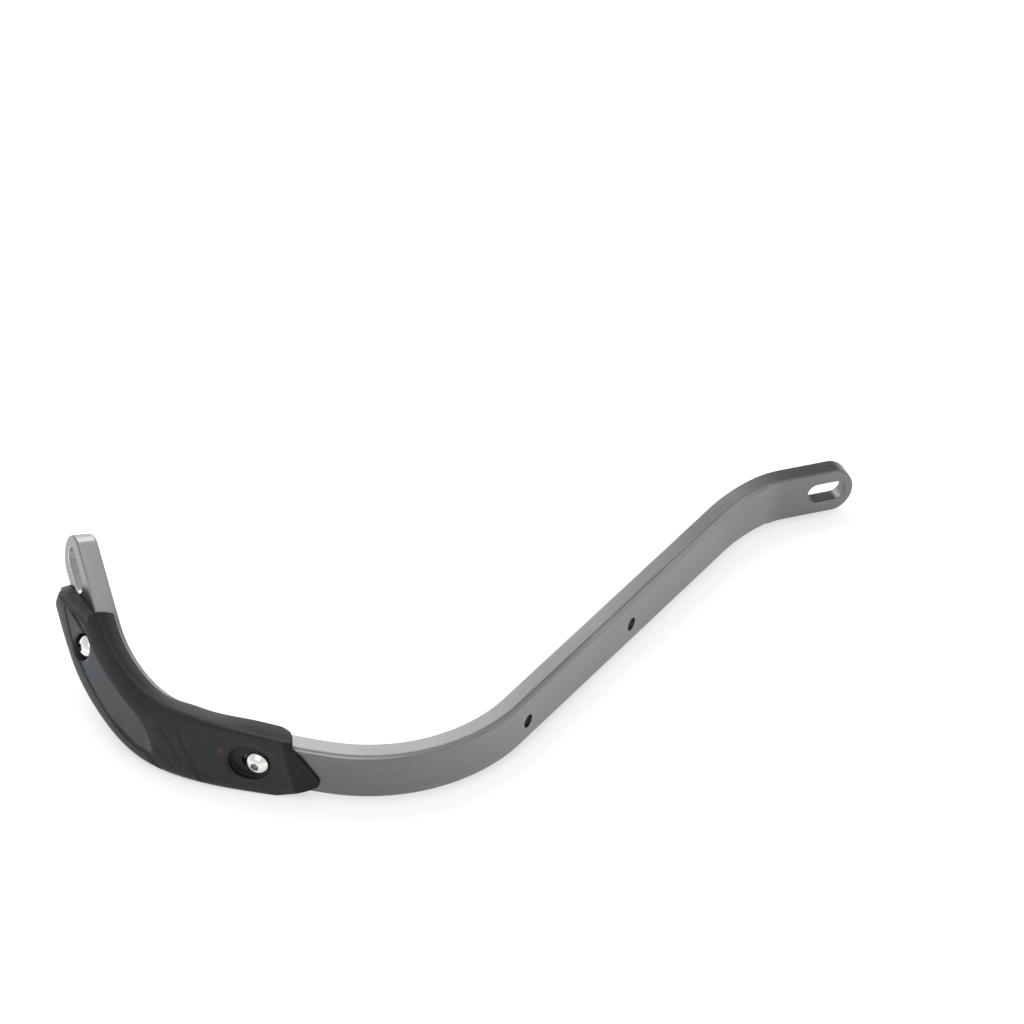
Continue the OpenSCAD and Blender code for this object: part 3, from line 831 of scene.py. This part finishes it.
# borders of the long glossy recess and outline of the panel: place from the corner, height
RECESS_TOP = ((4, -3.5), (7, 1.5), (10, 4.7), (14, 6.4), (19.5, 6.9), (30, 7.3), (40, 7.1), (48, 7.4),
              (55, 7.6), (60, 6.0), (66, 3.0), (72.5, -1.2))
RECESS_LOW = ((4, -6.2), (9, -7.6), (16, -7.0), (23, -6.5), (30, -6.0), (37, -5.2), (44, -4.8), (52, -4.5),
              (60, -4.3), (66, -3.4), (72.5, -2.0))
RECESS = RECESS_TOP[::-1] + RECESS_LOW
PANEL = ((-10.5, 7.4), (-13, 9.0), (-17, 9.9), (-22, 10.5), (-28, 10.7), (-35.2, 9.9), (-39, 8.3),
         (-42.5, 6.4), (-44.8, 3.8), (-46, 0), (-46.5, -4), (-45, -7.4), (-41, -8.0), (-32, -7.2),
         (-21.5, -8.6), (-14, -8.6), (-11.5, -4), (-10, 2))
# slanted grooves: place and height of one end, then of the other, share of the depth
GROOVES = ((4.2, 7.4, -2.6, 2.4, 1.0), (1.2, 9.0, -2.8, 6.6, 0.7), (2.8, -2.6, -4.5, -7.8, 1.0),
           (-3.2, 10.4, -15.5, -11.5, 0.7), (-2.5, 1.5, -7.5, -4.5, 0.6), (6.0, -6.5, 0.5, -12.0, 0.5),
           (52.5, 5.6, 69.5, 0.6, 0.8))
GROOVE_WIDTH = 1.9
# line ahead of the panel from which the front facet falls away: place at height 0, shift per mm of height
CREASE, CREASE_SLOPE = -47.4, 0.225


def table(rows, x):
    """Straight interpolation in a table of (key, value) rows, in either order."""
    rows = sorted(rows)
    return np.interp(x, [r[0] for r in rows], [r[1] for r in rows])


def padding(s):
    """Thickness of the padding at the path lengths s."""
    d = np.clip(s - CORNER, SWELLS[0][0], SWELLS[-1][0])
    out = np.zeros_like(d)
    for (a, x), (b, y) in zip(SWELLS[:-1], SWELLS[1:]):
        here = (d >= a) & (d <= b)
        out[here] = x + (y - x) * (1 - np.cos(np.pi * (d[here] - a) / (b - a))) / 2
    return out


def flange(s):
    """Outward place and height of the upper flange's inner edge at the path lengths s."""
    return (-HALF_THICKNESS + 1.9 * smooth(s, CORNER - 6, CORNER + 14),
            HALF_HEIGHT + 3 - 2.1 * smooth(s, CORNER - 34, CORNER - 8))


def spline(points, t):
    """Catmull-Rom curve through points, whose parameter counts them from 0."""
    points = np.asarray(points, float)
    ends = [points[:1] * 2 - points[1:2], points, points[-1:] * 2 - points[-2:-1]]
    p = np.concatenate(ends)
    i = np.clip(np.floor(t).astype(int), 0, len(points) - 2)
    f = (t - i).reshape((-1,) + (1,) * (p.ndim - 1))
    a, b, c, d = p[i], p[i + 1], p[i + 2], p[i + 3]
    square, cube = (2 * a - 5 * b + 4 * c - d) * f ** 2, (3 * b - a - 3 * c + d) * f ** 3
    return 0.5 * (2 * b + (c - a) * f + square + cube)


def inside_distance(outline, x, y, rounds=2):
    """Distance from a rounded closed outline, plus inside it and minus outside."""
    ring = np.array(outline, float)
    for _ in range(rounds):
        after = np.roll(ring, -1, 0)
        ring = np.stack([ring * 0.75 + after * 0.25, ring * 0.25 + after * 0.75], 1).reshape(-1, 2)
    best = np.full(x.shape, 1e9)
    inside = np.zeros(x.shape, bool)
    for (ax, ay), (bx, by) in zip(ring, np.roll(ring, -1, 0)):
        dx, dy = bx - ax, by - ay
        t = np.clip(((x - ax) * dx + (y - ay) * dy) / (dx * dx + dy * dy), 0, 1)
        best = np.minimum(best, (x - ax - t * dx) ** 2 + (y - ay - t * dy) ** 2)
        if dy:
            inside ^= ((ay > y) != (by > y)) & (x < ax + (y - ay) / dy * dx)
    return np.where(inside, 1, -1) * np.sqrt(best)


def groove_share(x, y, groove, width):
    """1 in the middle of a slanted groove, 0 beside it, tapered toward its ends."""
    ax, ay, bx, by, depth = groove
    dx, dy = bx - ax, by - ay
    t = ((x - ax) * dx + (y - ay) * dy) / (dx * dx + dy * dy)
    off = np.hypot(x - ax - np.clip(t, 0, 1) * dx, y - ay - np.clip(t, 0, 1) * dy)
    taper = smooth(t, -0.05, 0.2) * (1 - smooth(t, 0.8, 1.05))
    return depth * (0.35 + 0.65 * taper) * (1 - smooth(off, 0.1, width / 2))


class ProtectorSkin:
    """The protector's outer skin as a grid of rows along the path and lines round the section."""

    def __init__(self, settings):
        self.settings = settings
        dense = np.linspace(0, len(WALL) - 1, 600)
        wall = spline(WALL, dense)
        self.share_table = (wall[::-1, 1], wall[::-1, 0])
        # lines of the wall from top to bottom, lines over the top and under the bottom
        heights = np.concatenate([
            [12.9, 12.8, 12.65, 12.45, 12.2, 11.9, 11.6, 11.3], np.arange(11.0, -11.0, -0.3),
            [-11.1, -11.4, -11.7, -12, -12.25, -12.5, -12.7, -12.85, -12.95, -13.05, -13.1]])
        self.top_t = np.concatenate([np.linspace(0, 3, 20), [3.15, 3.3, 3.5, 3.7, 3.85, 4.0]])[::-1][:-1]
        self.bottom_t = np.array([0, 0.2, 0.4, 0.6, 0.8, 1, 1.2, 1.4, 1.6, 1.8, 2.0])[1:]
        self.heights = heights
        self.n_top, self.n_wall, self.n_bottom = len(self.top_t), len(heights), len(self.bottom_t)
        self.lines = self.n_top + self.n_wall + self.n_bottom
        first = self.outlines(np.full(self.lines, FRONT_END + 9.0))
        top_u, bottom_u = first[: self.n_top, 0], first[self.n_top + self.n_wall:, 0]
        self.s0 = FRONT_END + np.concatenate([table(FRONT_TOP, top_u), table(FRONT_WALL, heights),
                                              table(FRONT_BOTTOM, bottom_u)])
        self.s1 = REAR_END + np.concatenate([np.full(self.n_top, REAR_WALL[0][1]), table(REAR_WALL, heights),
                                             np.zeros(self.n_bottom)])
        # rows are close together at both ends and even between them, over about the protector's length
        span, margin = 140, 1.85
        ends = np.array([0, 0.05, 0.12, 0.22, 0.36, 0.55, 0.8, 1.1, 1.45])
        middle = np.arange(margin, span - margin, 0.4)
        sigma = np.concatenate([ends, middle, span - ends[::-1]]) / span
        self.s = self.s0[None] + (self.s1 - self.s0)[None] * sigma[:, None]

    def share(self, height):
        return np.interp(height, *self.share_table)

    def outlines(self, s):
        """Outward and upward places of every line at the path lengths s, one for each line."""
        w = padding(s)
        a, t = flange(s)
        b = HALF_THICKNESS - 4.4
        out = np.zeros((len(s), 2))
        for j in range(len(s)):
            k = j - self.n_top
            if 0 <= k < self.n_wall:
                out[j] = INNER_FACE + w[j] * self.share(self.heights[k]), self.heights[k]
            elif k < 0:
                chain = [(INNER_FACE + 0.34 * w[j], 12.1), (INNER_FACE + 0.1 * w[j], 12.9),
                         (HALF_THICKNESS - 1, TOP - 0.02),
                         ((a[j] + HALF_THICKNESS) / 2, (t[j] + TOP) / 2 + 0.25),
                         (a[j] + 0.6, t[j]), (a[j], t[j] - 0.4)]
                out[j] = spline(chain, np.array([self.top_t[j] + 1]))[0]
            else:
                chain = [(INNER_FACE + 0.8 * w[j], -12.5), (INNER_FACE + 0.58 * w[j], LOW),
                         (b + 0.8, LOW), (b, LOW + 0.7)]
                out[j] = spline(chain, np.array([self.bottom_t[k - self.n_wall] + 1]))[0]
        return out

    def build(self):
        """The skin's points in mm, and which of them lie on the recess floor."""
        places = np.stack([self.outlines(row) for row in self.s])
        u, v = places[..., 0], places[..., 1]
        base = PATH.spot(self.s, u, v)
        down = np.gradient(base, axis=1)
        along = np.gradient(base, axis=0)
        normal = np.cross(down, along)
        normal /= np.linalg.norm(normal, axis=2)[..., None]
        away = base - PATH.spot(self.s, np.zeros_like(u), np.zeros_like(v))
        normal *= np.sign((normal * away).sum(2))[..., None]
        wall = np.zeros(self.lines, bool)
        wall[self.n_top:self.n_top + self.n_wall] = True
        relief, sunk, floor, _ = self.relief(self.s - CORNER, v, wall[None])
        relief -= self.border_drop()
        outward = PATH.at(self.s.ravel())[2].reshape(base.shape)
        return base + normal * relief[..., None] - outward * sunk[..., None], floor

    def face(self, x, y):
        """Outward place of the outer face at the places x from the corner and the heights y."""
        return INNER_FACE + padding(x + CORNER) * self.share(y)

    @staticmethod
    def seat_distances(x, y):
        """Distances from the outlines of the front screw's seat and the rear screw's pocket."""
        middle = FRONT_SCREW - CORNER + SEAT_SHIFT
        outline = [(middle + px, FRONT_SCREW_UP + py) for px, py in oval(SEAT_LENGTH, SEAT_WIDTH)]
        return inside_distance(outline, x, y, 0), POCKET / 2 - np.hypot(x - (REAR_SCREW - CORNER), y)

    def relief(self, x, y, wall):
        """Relief along the surface and sinking inward, both in mm, the recess floor and the rubbed edges."""
        settings = self.settings
        recess = inside_distance(RECESS, x, y)
        # the recess has a flat floor from its upper to its lower border, and runs out at both ends
        top, low = table(RECESS_TOP, x), table(RECESS_LOW, x)
        across = np.clip((top - y) / (top - low), 0, 1)
        fade = (0.3 + 0.7 * smooth(x, 3, 9)) * (1 - 0.5 * smooth(x, 60, 73)) / MM
        low_share = 1 + 2.5 * (1 - smooth(x, 16, 28))
        depth = settings.recess_depth * fade, settings.recess_low_depth * fade * low_share
        level = (self.face(x, top) - depth[0]) * (1 - across) + (self.face(x, low) - depth[1]) * across
        over = np.maximum(self.face(x, y) - level, 0)
        sunk = np.where(wall, smooth(recess, -0.1, 0.6 + 0.5 * across) * over, 0)
        panel = inside_distance(PANEL, x, y)
        relief = -settings.panel_depth / MM * smooth(panel, -0.2, 1.3)
        grooves = np.zeros_like(x)
        for groove in GROOVES:
            grooves = np.maximum(grooves, groove_share(x, y, groove, GROOVE_WIDTH))
        relief -= settings.groove_depth / MM * grooves
        # shoulder in front of the panel
        ahead = x - (CREASE + CREASE_SLOPE * y)
        shoulder = np.where(ahead < 0, np.clip(1 + ahead / 10.5, 0, 1), np.exp(-np.abs(ahead) / 6.0))
        relief += 0.75 * shoulder * smooth(-np.abs(y - 1), -13, -8)
        # rolled rims of the two screw pockets
        seat, pocket = self.seat_distances(x, y)
        for rim_distance, radius in ((seat, 0.9), (pocket, 0.4)):
            out = np.clip(-rim_distance, 0, radius)
            relief -= radius - np.sqrt(np.maximum(radius ** 2 - (radius - out) ** 2, 0))
        relief = np.where(wall, relief, 0)
        raised = np.exp(-((recess + 0.5) / 0.5) ** 2) + np.exp(-(ahead / 0.6) ** 2) * (np.abs(y) < 10)
        floor = (recess > 0.5) & wall
        return relief, sunk, floor, np.where(wall, np.clip(raised, 0, 1) * 0.15, 0)

    def border_drop(self):
        """How far the skin falls toward each end, so that its edges are rounded."""
        heights = np.pad(self.heights, (self.n_top, self.n_bottom), "edge")
        slanted = smooth(heights, -9, 0) * (1 - smooth(heights, 8.5, 11))
        drop = np.zeros_like(self.s)
        for d, deep, long in ((self.s - self.s0[None], 0.3, 0.3),
                              (self.s1[None] - self.s, 0.45 + 2.2 * slanted, 0.45 + 4 * slanted)):
            share = 1 - np.clip(d / long, 0, 1)
            drop = np.maximum(drop, deep * (1 - np.sqrt(1 - share ** 2)))
        return drop


class OBJECT_OT_hand_guard_protector(bpy.types.Operator):
    """Build the moulded corner protector with its recess, panel, grooves and screw pockets"""

    bl_idname = "hand_guard.protector"
    bl_label = "Corner protector"

    def execute(self, context):
        settings = context.scene.hand_guard_protector
        skin = ProtectorSkin(settings)
        outer, floor = skin.build()
        rows, lines = outer.shape[:2]
        # inner skin: a coarse grid on the bar, tied to some of the outer lines
        n_top, n_wall = skin.n_top, skin.n_wall
        ties = np.unique(np.concatenate([
            np.linspace(0, n_top, 6).astype(int), np.linspace(n_top + 12, n_top + n_wall - 12, 7).astype(int),
            np.linspace(n_top + n_wall - 1, lines - 1, 4).astype(int)]))
        steps = np.unique(np.concatenate([np.arange(0, rows - 1, 4), [rows - 1]]))
        side = HALF_HEIGHT + 0.15
        inner = []
        for j in ties:
            s = skin.s[steps, j]
            a, _ = flange(s)
            if j <= n_top:
                share = j / n_top
                u, v = a + (INNER_FACE - a) * share, np.full(len(s), side)
            elif j < n_top + n_wall - 1:
                u, v = np.full(len(s), INNER_FACE), np.full(len(s), float(skin.heights[j - n_top]))
                v = np.clip(v, -side + 0.5, side - 0.5)
            else:
                share = (j - (n_top + n_wall - 1)) / (lines - n_top - n_wall)
                u, v = INNER_FACE + (-0.1 - INNER_FACE) * share + 0 * s, np.full(len(s), -side)
            inner.append(PATH.spot(s, u, v))
        inner = np.array(inner).transpose(1, 0, 2)
        points = np.concatenate([outer.reshape(-1, 3), inner.reshape(-1, 3)])

        def out(i, j):
            return i * lines + j

        def inn(i, k):
            return rows * lines + i * len(ties) + k

        faces = [(out(i, j), out(i + 1, j), out(i + 1, j + 1), out(i, j + 1))
                 for i in range(rows - 1) for j in range(lines - 1)]
        zones = [int(floor[i:i + 2, j:j + 2].all()) for i in range(rows - 1) for j in range(lines - 1)]
        m, q = len(steps), len(ties)
        for i in range(m - 1):
            for k in range(q - 1):
                faces.append((inn(i, k), inn(i, k + 1), inn(i + 1, k + 1), inn(i + 1, k)))
            for k, j in ((0, 0), (q - 1, lines - 1)):
                chain = [out(r, j) for r in range(steps[i], steps[i + 1] + 1)]
                face = [inn(i, k)] + chain + [inn(i + 1, k)]
                faces.append(face if k else face[::-1])
        for i, r in ((0, 0), (m - 1, rows - 1)):
            for k in range(q - 1):
                chain = [out(r, j) for j in range(ties[k], ties[k + 1] + 1)]
                face = [inn(i, k)] + chain + [inn(i, k + 1)]
                faces.append(face[::-1] if i else face)
        shell = add_object("protector", points, faces)
        shell.data.materials.append(moulded_plastic("moulded_plastic", settings.plastic, 0.44, 0.00003, 0.24))
        shell.data.materials.append(moulded_plastic("glossy_plastic", settings.gloss, 0.14, 0.000002, 0.5))
        zones += [0] * (len(faces) - len(zones))
        shell.data.polygons.foreach_set("material_index", zones)
        face_outward(shell)
        shell = cut(shell, self.cutters(), "corner_protector_dressed")
        shell = soften(shell, 44)
        self.mark_wear_and_painted_light(shell, skin)
        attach(shell, "root")
        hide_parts("corner_protector")
        return {"FINISHED"}

    @staticmethod
    def mark_wear_and_painted_light(shell, skin):
        s, outward, upward, _ = path_places(points_of(shell.data) / MM)
        x, y = s - CORNER, upward
        *_, floor, worn = skin.relief(x, y, outward > INNER_FACE + 0.5)
        store(shell.data, "worn", "FLOAT", worn)
        # painted reflection on the gloss: cool toward the rear and warm toward the front, with blue spots in
        # between
        cool = smooth(x, 26.5, 28.5)[:, None]
        stain = cool * (-0.004, -0.002, 0.008) + (1 - cool) * (0.007, 0.003, 0)
        for spot_x, spot_y, size_x, size_y in ((42, -1, 4.6, 1.7), (55, 2.2, 1.4, 0.8)):
            spot = np.exp(-((x - spot_x) / size_x) ** 2 - ((y - spot_y) / size_y) ** 2)[:, None]
            stain += spot * (-0.022, 0.002, 0.045)
        # painted reflection, dimmer toward the rear of the gloss
        stain -= smooth(x, 46, 54)[:, None] * (0.01, 0.01, 0.006)
        stain *= floor[:, None]
        # painted shade on the upper edge and the top
        stain -= smooth(y, 11.6, 12.8)[:, None] * (0.011, 0.011, 0.011)
        # a small red-brown mark in the plastic
        stain += np.exp(-((x + 21.7) / 0.9) ** 2 - ((y - 4.3) / 0.9) ** 2)[:, None] * (0.09, 0.02, 0.003)
        # painted shade: the facet ahead of the panel and the insides of the seats are darker
        facet = 1 - smooth(x - CREASE_SLOPE * y, -48.2, -46.8)
        stain -= (facet * (outward > INNER_FACE))[:, None] * (0.017, 0.018, 0.017)
        seat, pocket = skin.seat_distances(x, y)
        sunk_in = (np.maximum(seat, pocket) > -0.15) & (outward < skin.face(x, y) - 0.9)
        stain -= sunk_in[:, None] * (0.012, 0.012, 0.011)
        store(shell.data, "stain", "FLOAT_VECTOR", stain)

    @staticmethod
    def cutters():
        def pocket(floor):
            return [(floor, -0.5), (floor + 0.1, -0.18), (floor + 0.4, 0), (floor + 20, 0.3)]

        def bore(floor):
            return [(-2, 0), (floor + 0.3, 0)]

        front, rear = (FRONT_SCREW, FRONT_SCREW_UP), Placed(REAR_SCREW)
        return [
            slot_cutter(Placed(*front, SEAT_SHIFT), SEAT_LENGTH, SEAT_WIDTH, pocket(FRONT_SEAT)),
            slot_cutter(Placed(*front, SEAT_TRAVEL / 2), SEAT_TRAVEL + SHANK_BORE, SHANK_BORE,
                        bore(FRONT_SEAT)),
            slot_cutter(rear, POCKET, POCKET, pocket(REAR_SEAT)),
            slot_cutter(rear, SHANK_BORE, SHANK_BORE, bore(REAR_SEAT)),
        ]


# the screws


def screw_mesh(settings):
    """One button-head screw, its head face at z = 0 and its shank below, in mm."""
    head, height, rim_height = settings.head / MM / 2, settings.head_height / MM, settings.head_rim / MM
    rise = height - rim_height
    dome = (head ** 2 + rise ** 2) / (2 * rise)
    thread, pitch, shank = settings.thread / MM / 2, settings.pitch / MM, settings.shank / MM
    flat, deep = settings.socket / MM / 2, settings.socket_depth / MM
    work = bmesh.new()
    # 1 inside the socket, which gets painted shade
    marks_and_socket_shade = work.verts.layers.float.new("deep")
    count = 72
    turns = [2 * math.pi * k / count for k in range(count)]

    def circle(radius, z):
        return [work.verts.new((radius * math.cos(a), radius * math.sin(a), z)) for a in turns]

    def hexagon(size, z):
        radii = [size / math.cos((a + math.pi / 6) % (math.pi / 3) - math.pi / 6) for a in turns]
        return [work.verts.new((r * math.cos(a), r * math.sin(a), z)) for a, r in zip(turns, radii)]

    def on_dome(radius):
        return circle(radius, height - dome + math.sqrt(dome ** 2 - radius ** 2))

    top = flat / math.cos(math.pi / 6) + 0.1
    rings = [hexagon(flat, height - deep), hexagon(flat, height - 0.25)]
    rings += [on_dome(top + (head - 0.15 - top) * share) for share in np.linspace(0, 1, 12)[:-1]]
    rings += [circle(head - 0.03, rim_height + 0.06), circle(head, rim_height - 0.03), circle(head, 0.12),
              circle(head - 0.12, 0.0), circle(thread + 0.15, 0.0), circle(thread, -0.15)]
    # the thread's turns, with plain metal above and below them
    plain, root = 0.9, thread - 0.42
    z = -plain
    while z > -shank + plain:
        rings += [circle(thread, z), circle(root, z - pitch * 0.42), circle(root, z - pitch * 0.55)]
        z -= pitch
    rings += [circle(thread, z), circle(thread - 0.1, -shank + 0.5), circle(thread - 0.55, -shank)]
    for vert in rings[0] + rings[1]:
        vert[marks_and_socket_shade] = 1
    for a, b in zip(rings[:-1], rings[1:]):
        for k in range(count):
            work.faces.new((a[k], a[(k + 1) % count], b[(k + 1) % count], b[k]))
    for ring, z in ((rings[0], height - deep - 0.35), (rings[-1], -shank)):
        middle = work.verts.new((0, 0, z))
        middle[marks_and_socket_shade] = 1 if ring is rings[0] else 0
        for k in range(count):
            work.faces.new((ring[(k + 1) % count], ring[k], middle))
    bmesh.ops.recalc_face_normals(work, faces=work.faces)
    bmesh.ops.scale(work, vec=(MM, MM, MM), verts=work.verts)
    mesh = bpy.data.meshes.new("button_screw")
    work.to_mesh(mesh)
    work.free()
    return in_scene("button_screw", mesh)


def seating_tree():
    """Geometry nodes that put a screw on every seat, its axis and turn taken from the seat."""
    tree, sockets, given, result = open_tree("Screw seating", (
        ("Seats", "Geometry"), ("Screw", "Object"), ("Material", "Material")))
    screw = add_node(tree, "GeometryNodeObjectInfo", {"Object": given.outputs["Screw"]})
    stand = add_node(tree, "FunctionNodeAlignRotationToVector", {
        "Vector": named(tree, "axis", "FLOAT_VECTOR")}, axis="Z")
    twist = add_node(tree, "FunctionNodeAlignRotationToVector", {
        "Rotation": stand.outputs["Rotation"], "Vector": named(tree, "turn", "FLOAT_VECTOR")},
        axis="X", pivot_axis="Z")
    place = add_node(tree, "GeometryNodeInstanceOnPoints", {
        "Points": given.outputs["Seats"], "Instance": screw.outputs["Geometry"],
        "Rotation": twist.outputs["Rotation"]})
    close_tree(tree, given, result, place.outputs["Instances"])
    return tree, sockets


class OBJECT_OT_hand_guard_screws(bpy.types.Operator):
    """Build the protector's two button-head screws on their seats"""

    bl_idname = "hand_guard.screws"
    bl_label = "Protector screws"

    def execute(self, context):
        settings = context.scene.hand_guard_screws
        screw = screw_mesh(settings)
        where, axes, turns = [], [], []
        for s, up, seat, turn in ((FRONT_SCREW, FRONT_SCREW_UP, FRONT_SEAT, 20),
                                  (REAR_SCREW, 0, REAR_SEAT, -8)):
            p, t, n, u = (v[0] for v in PATH.at(s))
            where.append(p + u * up + n * seat)
            axes.append(n)
            turns.append(t * math.cos(math.radians(turn)) + u * math.sin(math.radians(turn)))
        seats = add_object("screw_seats", where)
        store(seats.data, "axis", "FLOAT_VECTOR", axes)
        store(seats.data, "turn", "FLOAT_VECTOR", turns)
        tree, sockets = seating_tree()
        seating = seats.modifiers.new("seating", "NODES")
        seating.node_group = tree
        seating[sockets["Screw"]] = screw
        seating[sockets["Material"]] = polished_steel(settings.steel)
        screws = finished(seats, "protector_screws_dressed")
        remove(screw)
        if len(screws.data.polygons) < 1000:
            raise RuntimeError("the screws were not placed on their seats")
        screws = soften(screws, 32)
        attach(screws, "root")
        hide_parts("protector_screw_front", "protector_screw_rear")
        return {"FINISHED"}


# the studio


class OBJECT_OT_hand_guard_stage(bpy.types.Operator):
    """Set up the camera, the pale floor and the soft lamps"""

    bl_idname = "hand_guard.stage"
    bl_label = "Studio"

    def execute(self, context):
        settings = context.scene.hand_guard_stage
        scene = context.scene
        data = bpy.data.cameras.new("camera")
        camera = in_scene("camera", data)
        back = -Vector(settings.camera_aim).normalized()
        up = Vector(settings.camera_up).normalized()
        right = up.cross(back).normalized()
        up = back.cross(right)
        rows = [(*row, place) for row, place in zip(zip(right, up, back), settings.camera_place)]
        camera.matrix_world = Matrix(rows + [(0, 0, 0, 1)])
        data.sensor_width = 36
        data.lens = settings.lens
        data.clip_start, data.clip_end = 0.05, 50
        scene.camera = camera

        low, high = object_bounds()
        middle = (low + high) / 2
        floor = add_object("floor", [(x * 3000 + middle.x / MM, y * 3000 + middle.y / MM, low.z / MM)
                                     for x, y in ((-1, -1), (1, -1), (1, 1), (-1, 1))], [(0, 1, 2, 3)])
        floor.data.materials.append(self.floor_material(settings))
        floor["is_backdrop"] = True
        self.light_world(scene, settings)
        for name, place, size, power, colour in (
                ("key_lamp", (-0.9, -1.1, 1.3), (1.2, 1.2), settings.key_power, (1, 1, 1)),
                ("top_lamp", (-0.03, 0.5, 0.4), (0.5, 0.8), settings.top_power, (1, 1, 1)),
                ("strip_lamp", (0.045, 0.38, 0.41), (0.08, 0.7), settings.strip_power, (0.9, 0.91, 1))):
            lamp = bpy.data.lights.new(name, "AREA")
            lamp.shape, lamp.energy, lamp.color = "RECTANGLE", power, colour
            lamp.size, lamp.size_y = size
            holder = in_scene(name, lamp)
            holder.location = middle + Vector(place)
            holder.rotation_euler = (-Vector(place)).to_track_quat("-Z", "Y").to_euler()
        scene.view_settings.view_transform = "Standard"
        return {"FINISHED"}

    @staticmethod
    def seen_plainly(tree):
        """1 for camera, glossy and transmission rays."""
        rays = add_node(tree, "ShaderNodeLightPath")
        direct = maths(tree, "MAXIMUM", rays.outputs["Is Camera Ray"], rays.outputs["Is Glossy Ray"])
        return maths(tree, "MAXIMUM", direct, rays.outputs["Is Transmission Ray"])

    def floor_material(self, settings):
        material = bpy.data.materials.new("pale_floor")
        tree = emptied(material)
        matt = add_node(tree, "ShaderNodeBsdfDiffuse", {"Color": (*settings.floor, 1)})
        glow = add_node(tree, "ShaderNodeEmission", {
            "Color": (1, 1, 1, 1), "Strength": maths(tree, "MULTIPLY", self.seen_plainly(tree), 0.45)})
        both = add_node(tree, "ShaderNodeAddShader", {0: matt.outputs["BSDF"], 1: glow.outputs["Emission"]})
        add_node(tree, "ShaderNodeOutputMaterial", {"Surface": both.outputs["Shader"]})
        return material

    def light_world(self, scene, settings):
        scene.world = bpy.data.worlds.new("studio")
        tree = emptied(scene.world)
        # the white backdrop reaches a little above the horizon; over it metal sees a softer ceiling and,
        # behind the guard, a dark opening that the upper faces mirror
        direction = add_node(tree, "ShaderNodeTexCoord").outputs["Generated"]
        split = add_node(tree, "ShaderNodeSeparateXYZ", {0: direction})
        aim = settings.camera_aim
        toward = add_node(tree, "ShaderNodeVectorMath", {
            0: direction, 1: (aim[0], aim[1], -aim[2])}, operation="DOT_PRODUCT")
        rays = add_node(tree, "ShaderNodeLightPath")
        above = ranged(tree, split.outputs["Z"], 0, 1 - settings.ceiling, 0.12, 0.4)
        behind = ranged(tree, toward.outputs["Value"], 0, 1 - settings.opening, 0.76, 0.94)
        dim = maths(tree, "MULTIPLY", rays.outputs["Is Glossy Ray"], maths(tree, "MAXIMUM", above, behind))
        plain = self.seen_plainly(tree)
        strength = maths(tree, "ADD", maths(tree, "MULTIPLY", plain, maths(tree, "SUBTRACT", 1.0, dim)),
                         ranged(tree, plain, settings.sky, 0, 0, 1))
        sky = add_node(tree, "ShaderNodeBackground", {"Color": (1, 1, 1, 1), "Strength": strength})
        add_node(tree, "ShaderNodeOutputWorld", {"Surface": sky.outputs["Background"]})


class VIEW3D_PT_hand_guard(bpy.types.Panel):
    bl_label = "Hand Guard"
    bl_idname = "VIEW3D_PT_hand_guard"
    bl_space_type = "VIEW_3D"
    bl_region_type = "UI"
    bl_category = "Hand Guard"

    def draw(self, context):
        for group, operator in (("hand_guard_bar", OBJECT_OT_hand_guard_bar),
                                ("hand_guard_protector", OBJECT_OT_hand_guard_protector),
                                ("hand_guard_screws", OBJECT_OT_hand_guard_screws),
                                ("hand_guard_stage", OBJECT_OT_hand_guard_stage)):
            box = self.layout.box()
            box.operator(operator.bl_idname)
            settings = getattr(context.scene, group)
            for name in settings.bl_rna.properties.keys():
                if name not in ("rna_type", "name"):
                    box.prop(settings, name)


SETTINGS = (
    ("hand_guard_bar", HandGuardBarSettings), ("hand_guard_protector", HandGuardProtectorSettings),
    ("hand_guard_screws", HandGuardScrewSettings), ("hand_guard_stage", HandGuardStageSettings),
)
CLASSES = tuple(group for _, group in SETTINGS) + (
    OBJECT_OT_hand_guard_bar, OBJECT_OT_hand_guard_protector, OBJECT_OT_hand_guard_screws,
    OBJECT_OT_hand_guard_stage, VIEW3D_PT_hand_guard,
)


def register():
    for one in CLASSES:
        bpy.utils.register_class(one)
    for name, group in SETTINGS:
        setattr(bpy.types.Scene, name, bpy.props.PointerProperty(type=group))


def unregister():
    for name, _ in SETTINGS:
        delattr(bpy.types.Scene, name)
    for one in reversed(CLASSES):
        bpy.utils.unregister_class(one)


def main():
    register()
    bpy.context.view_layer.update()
    bpy.ops.hand_guard.bar()
    bpy.ops.hand_guard.protector()
    bpy.ops.hand_guard.screws()
    bpy.ops.hand_guard.stage()


if __name__ == "__main__":
    main()
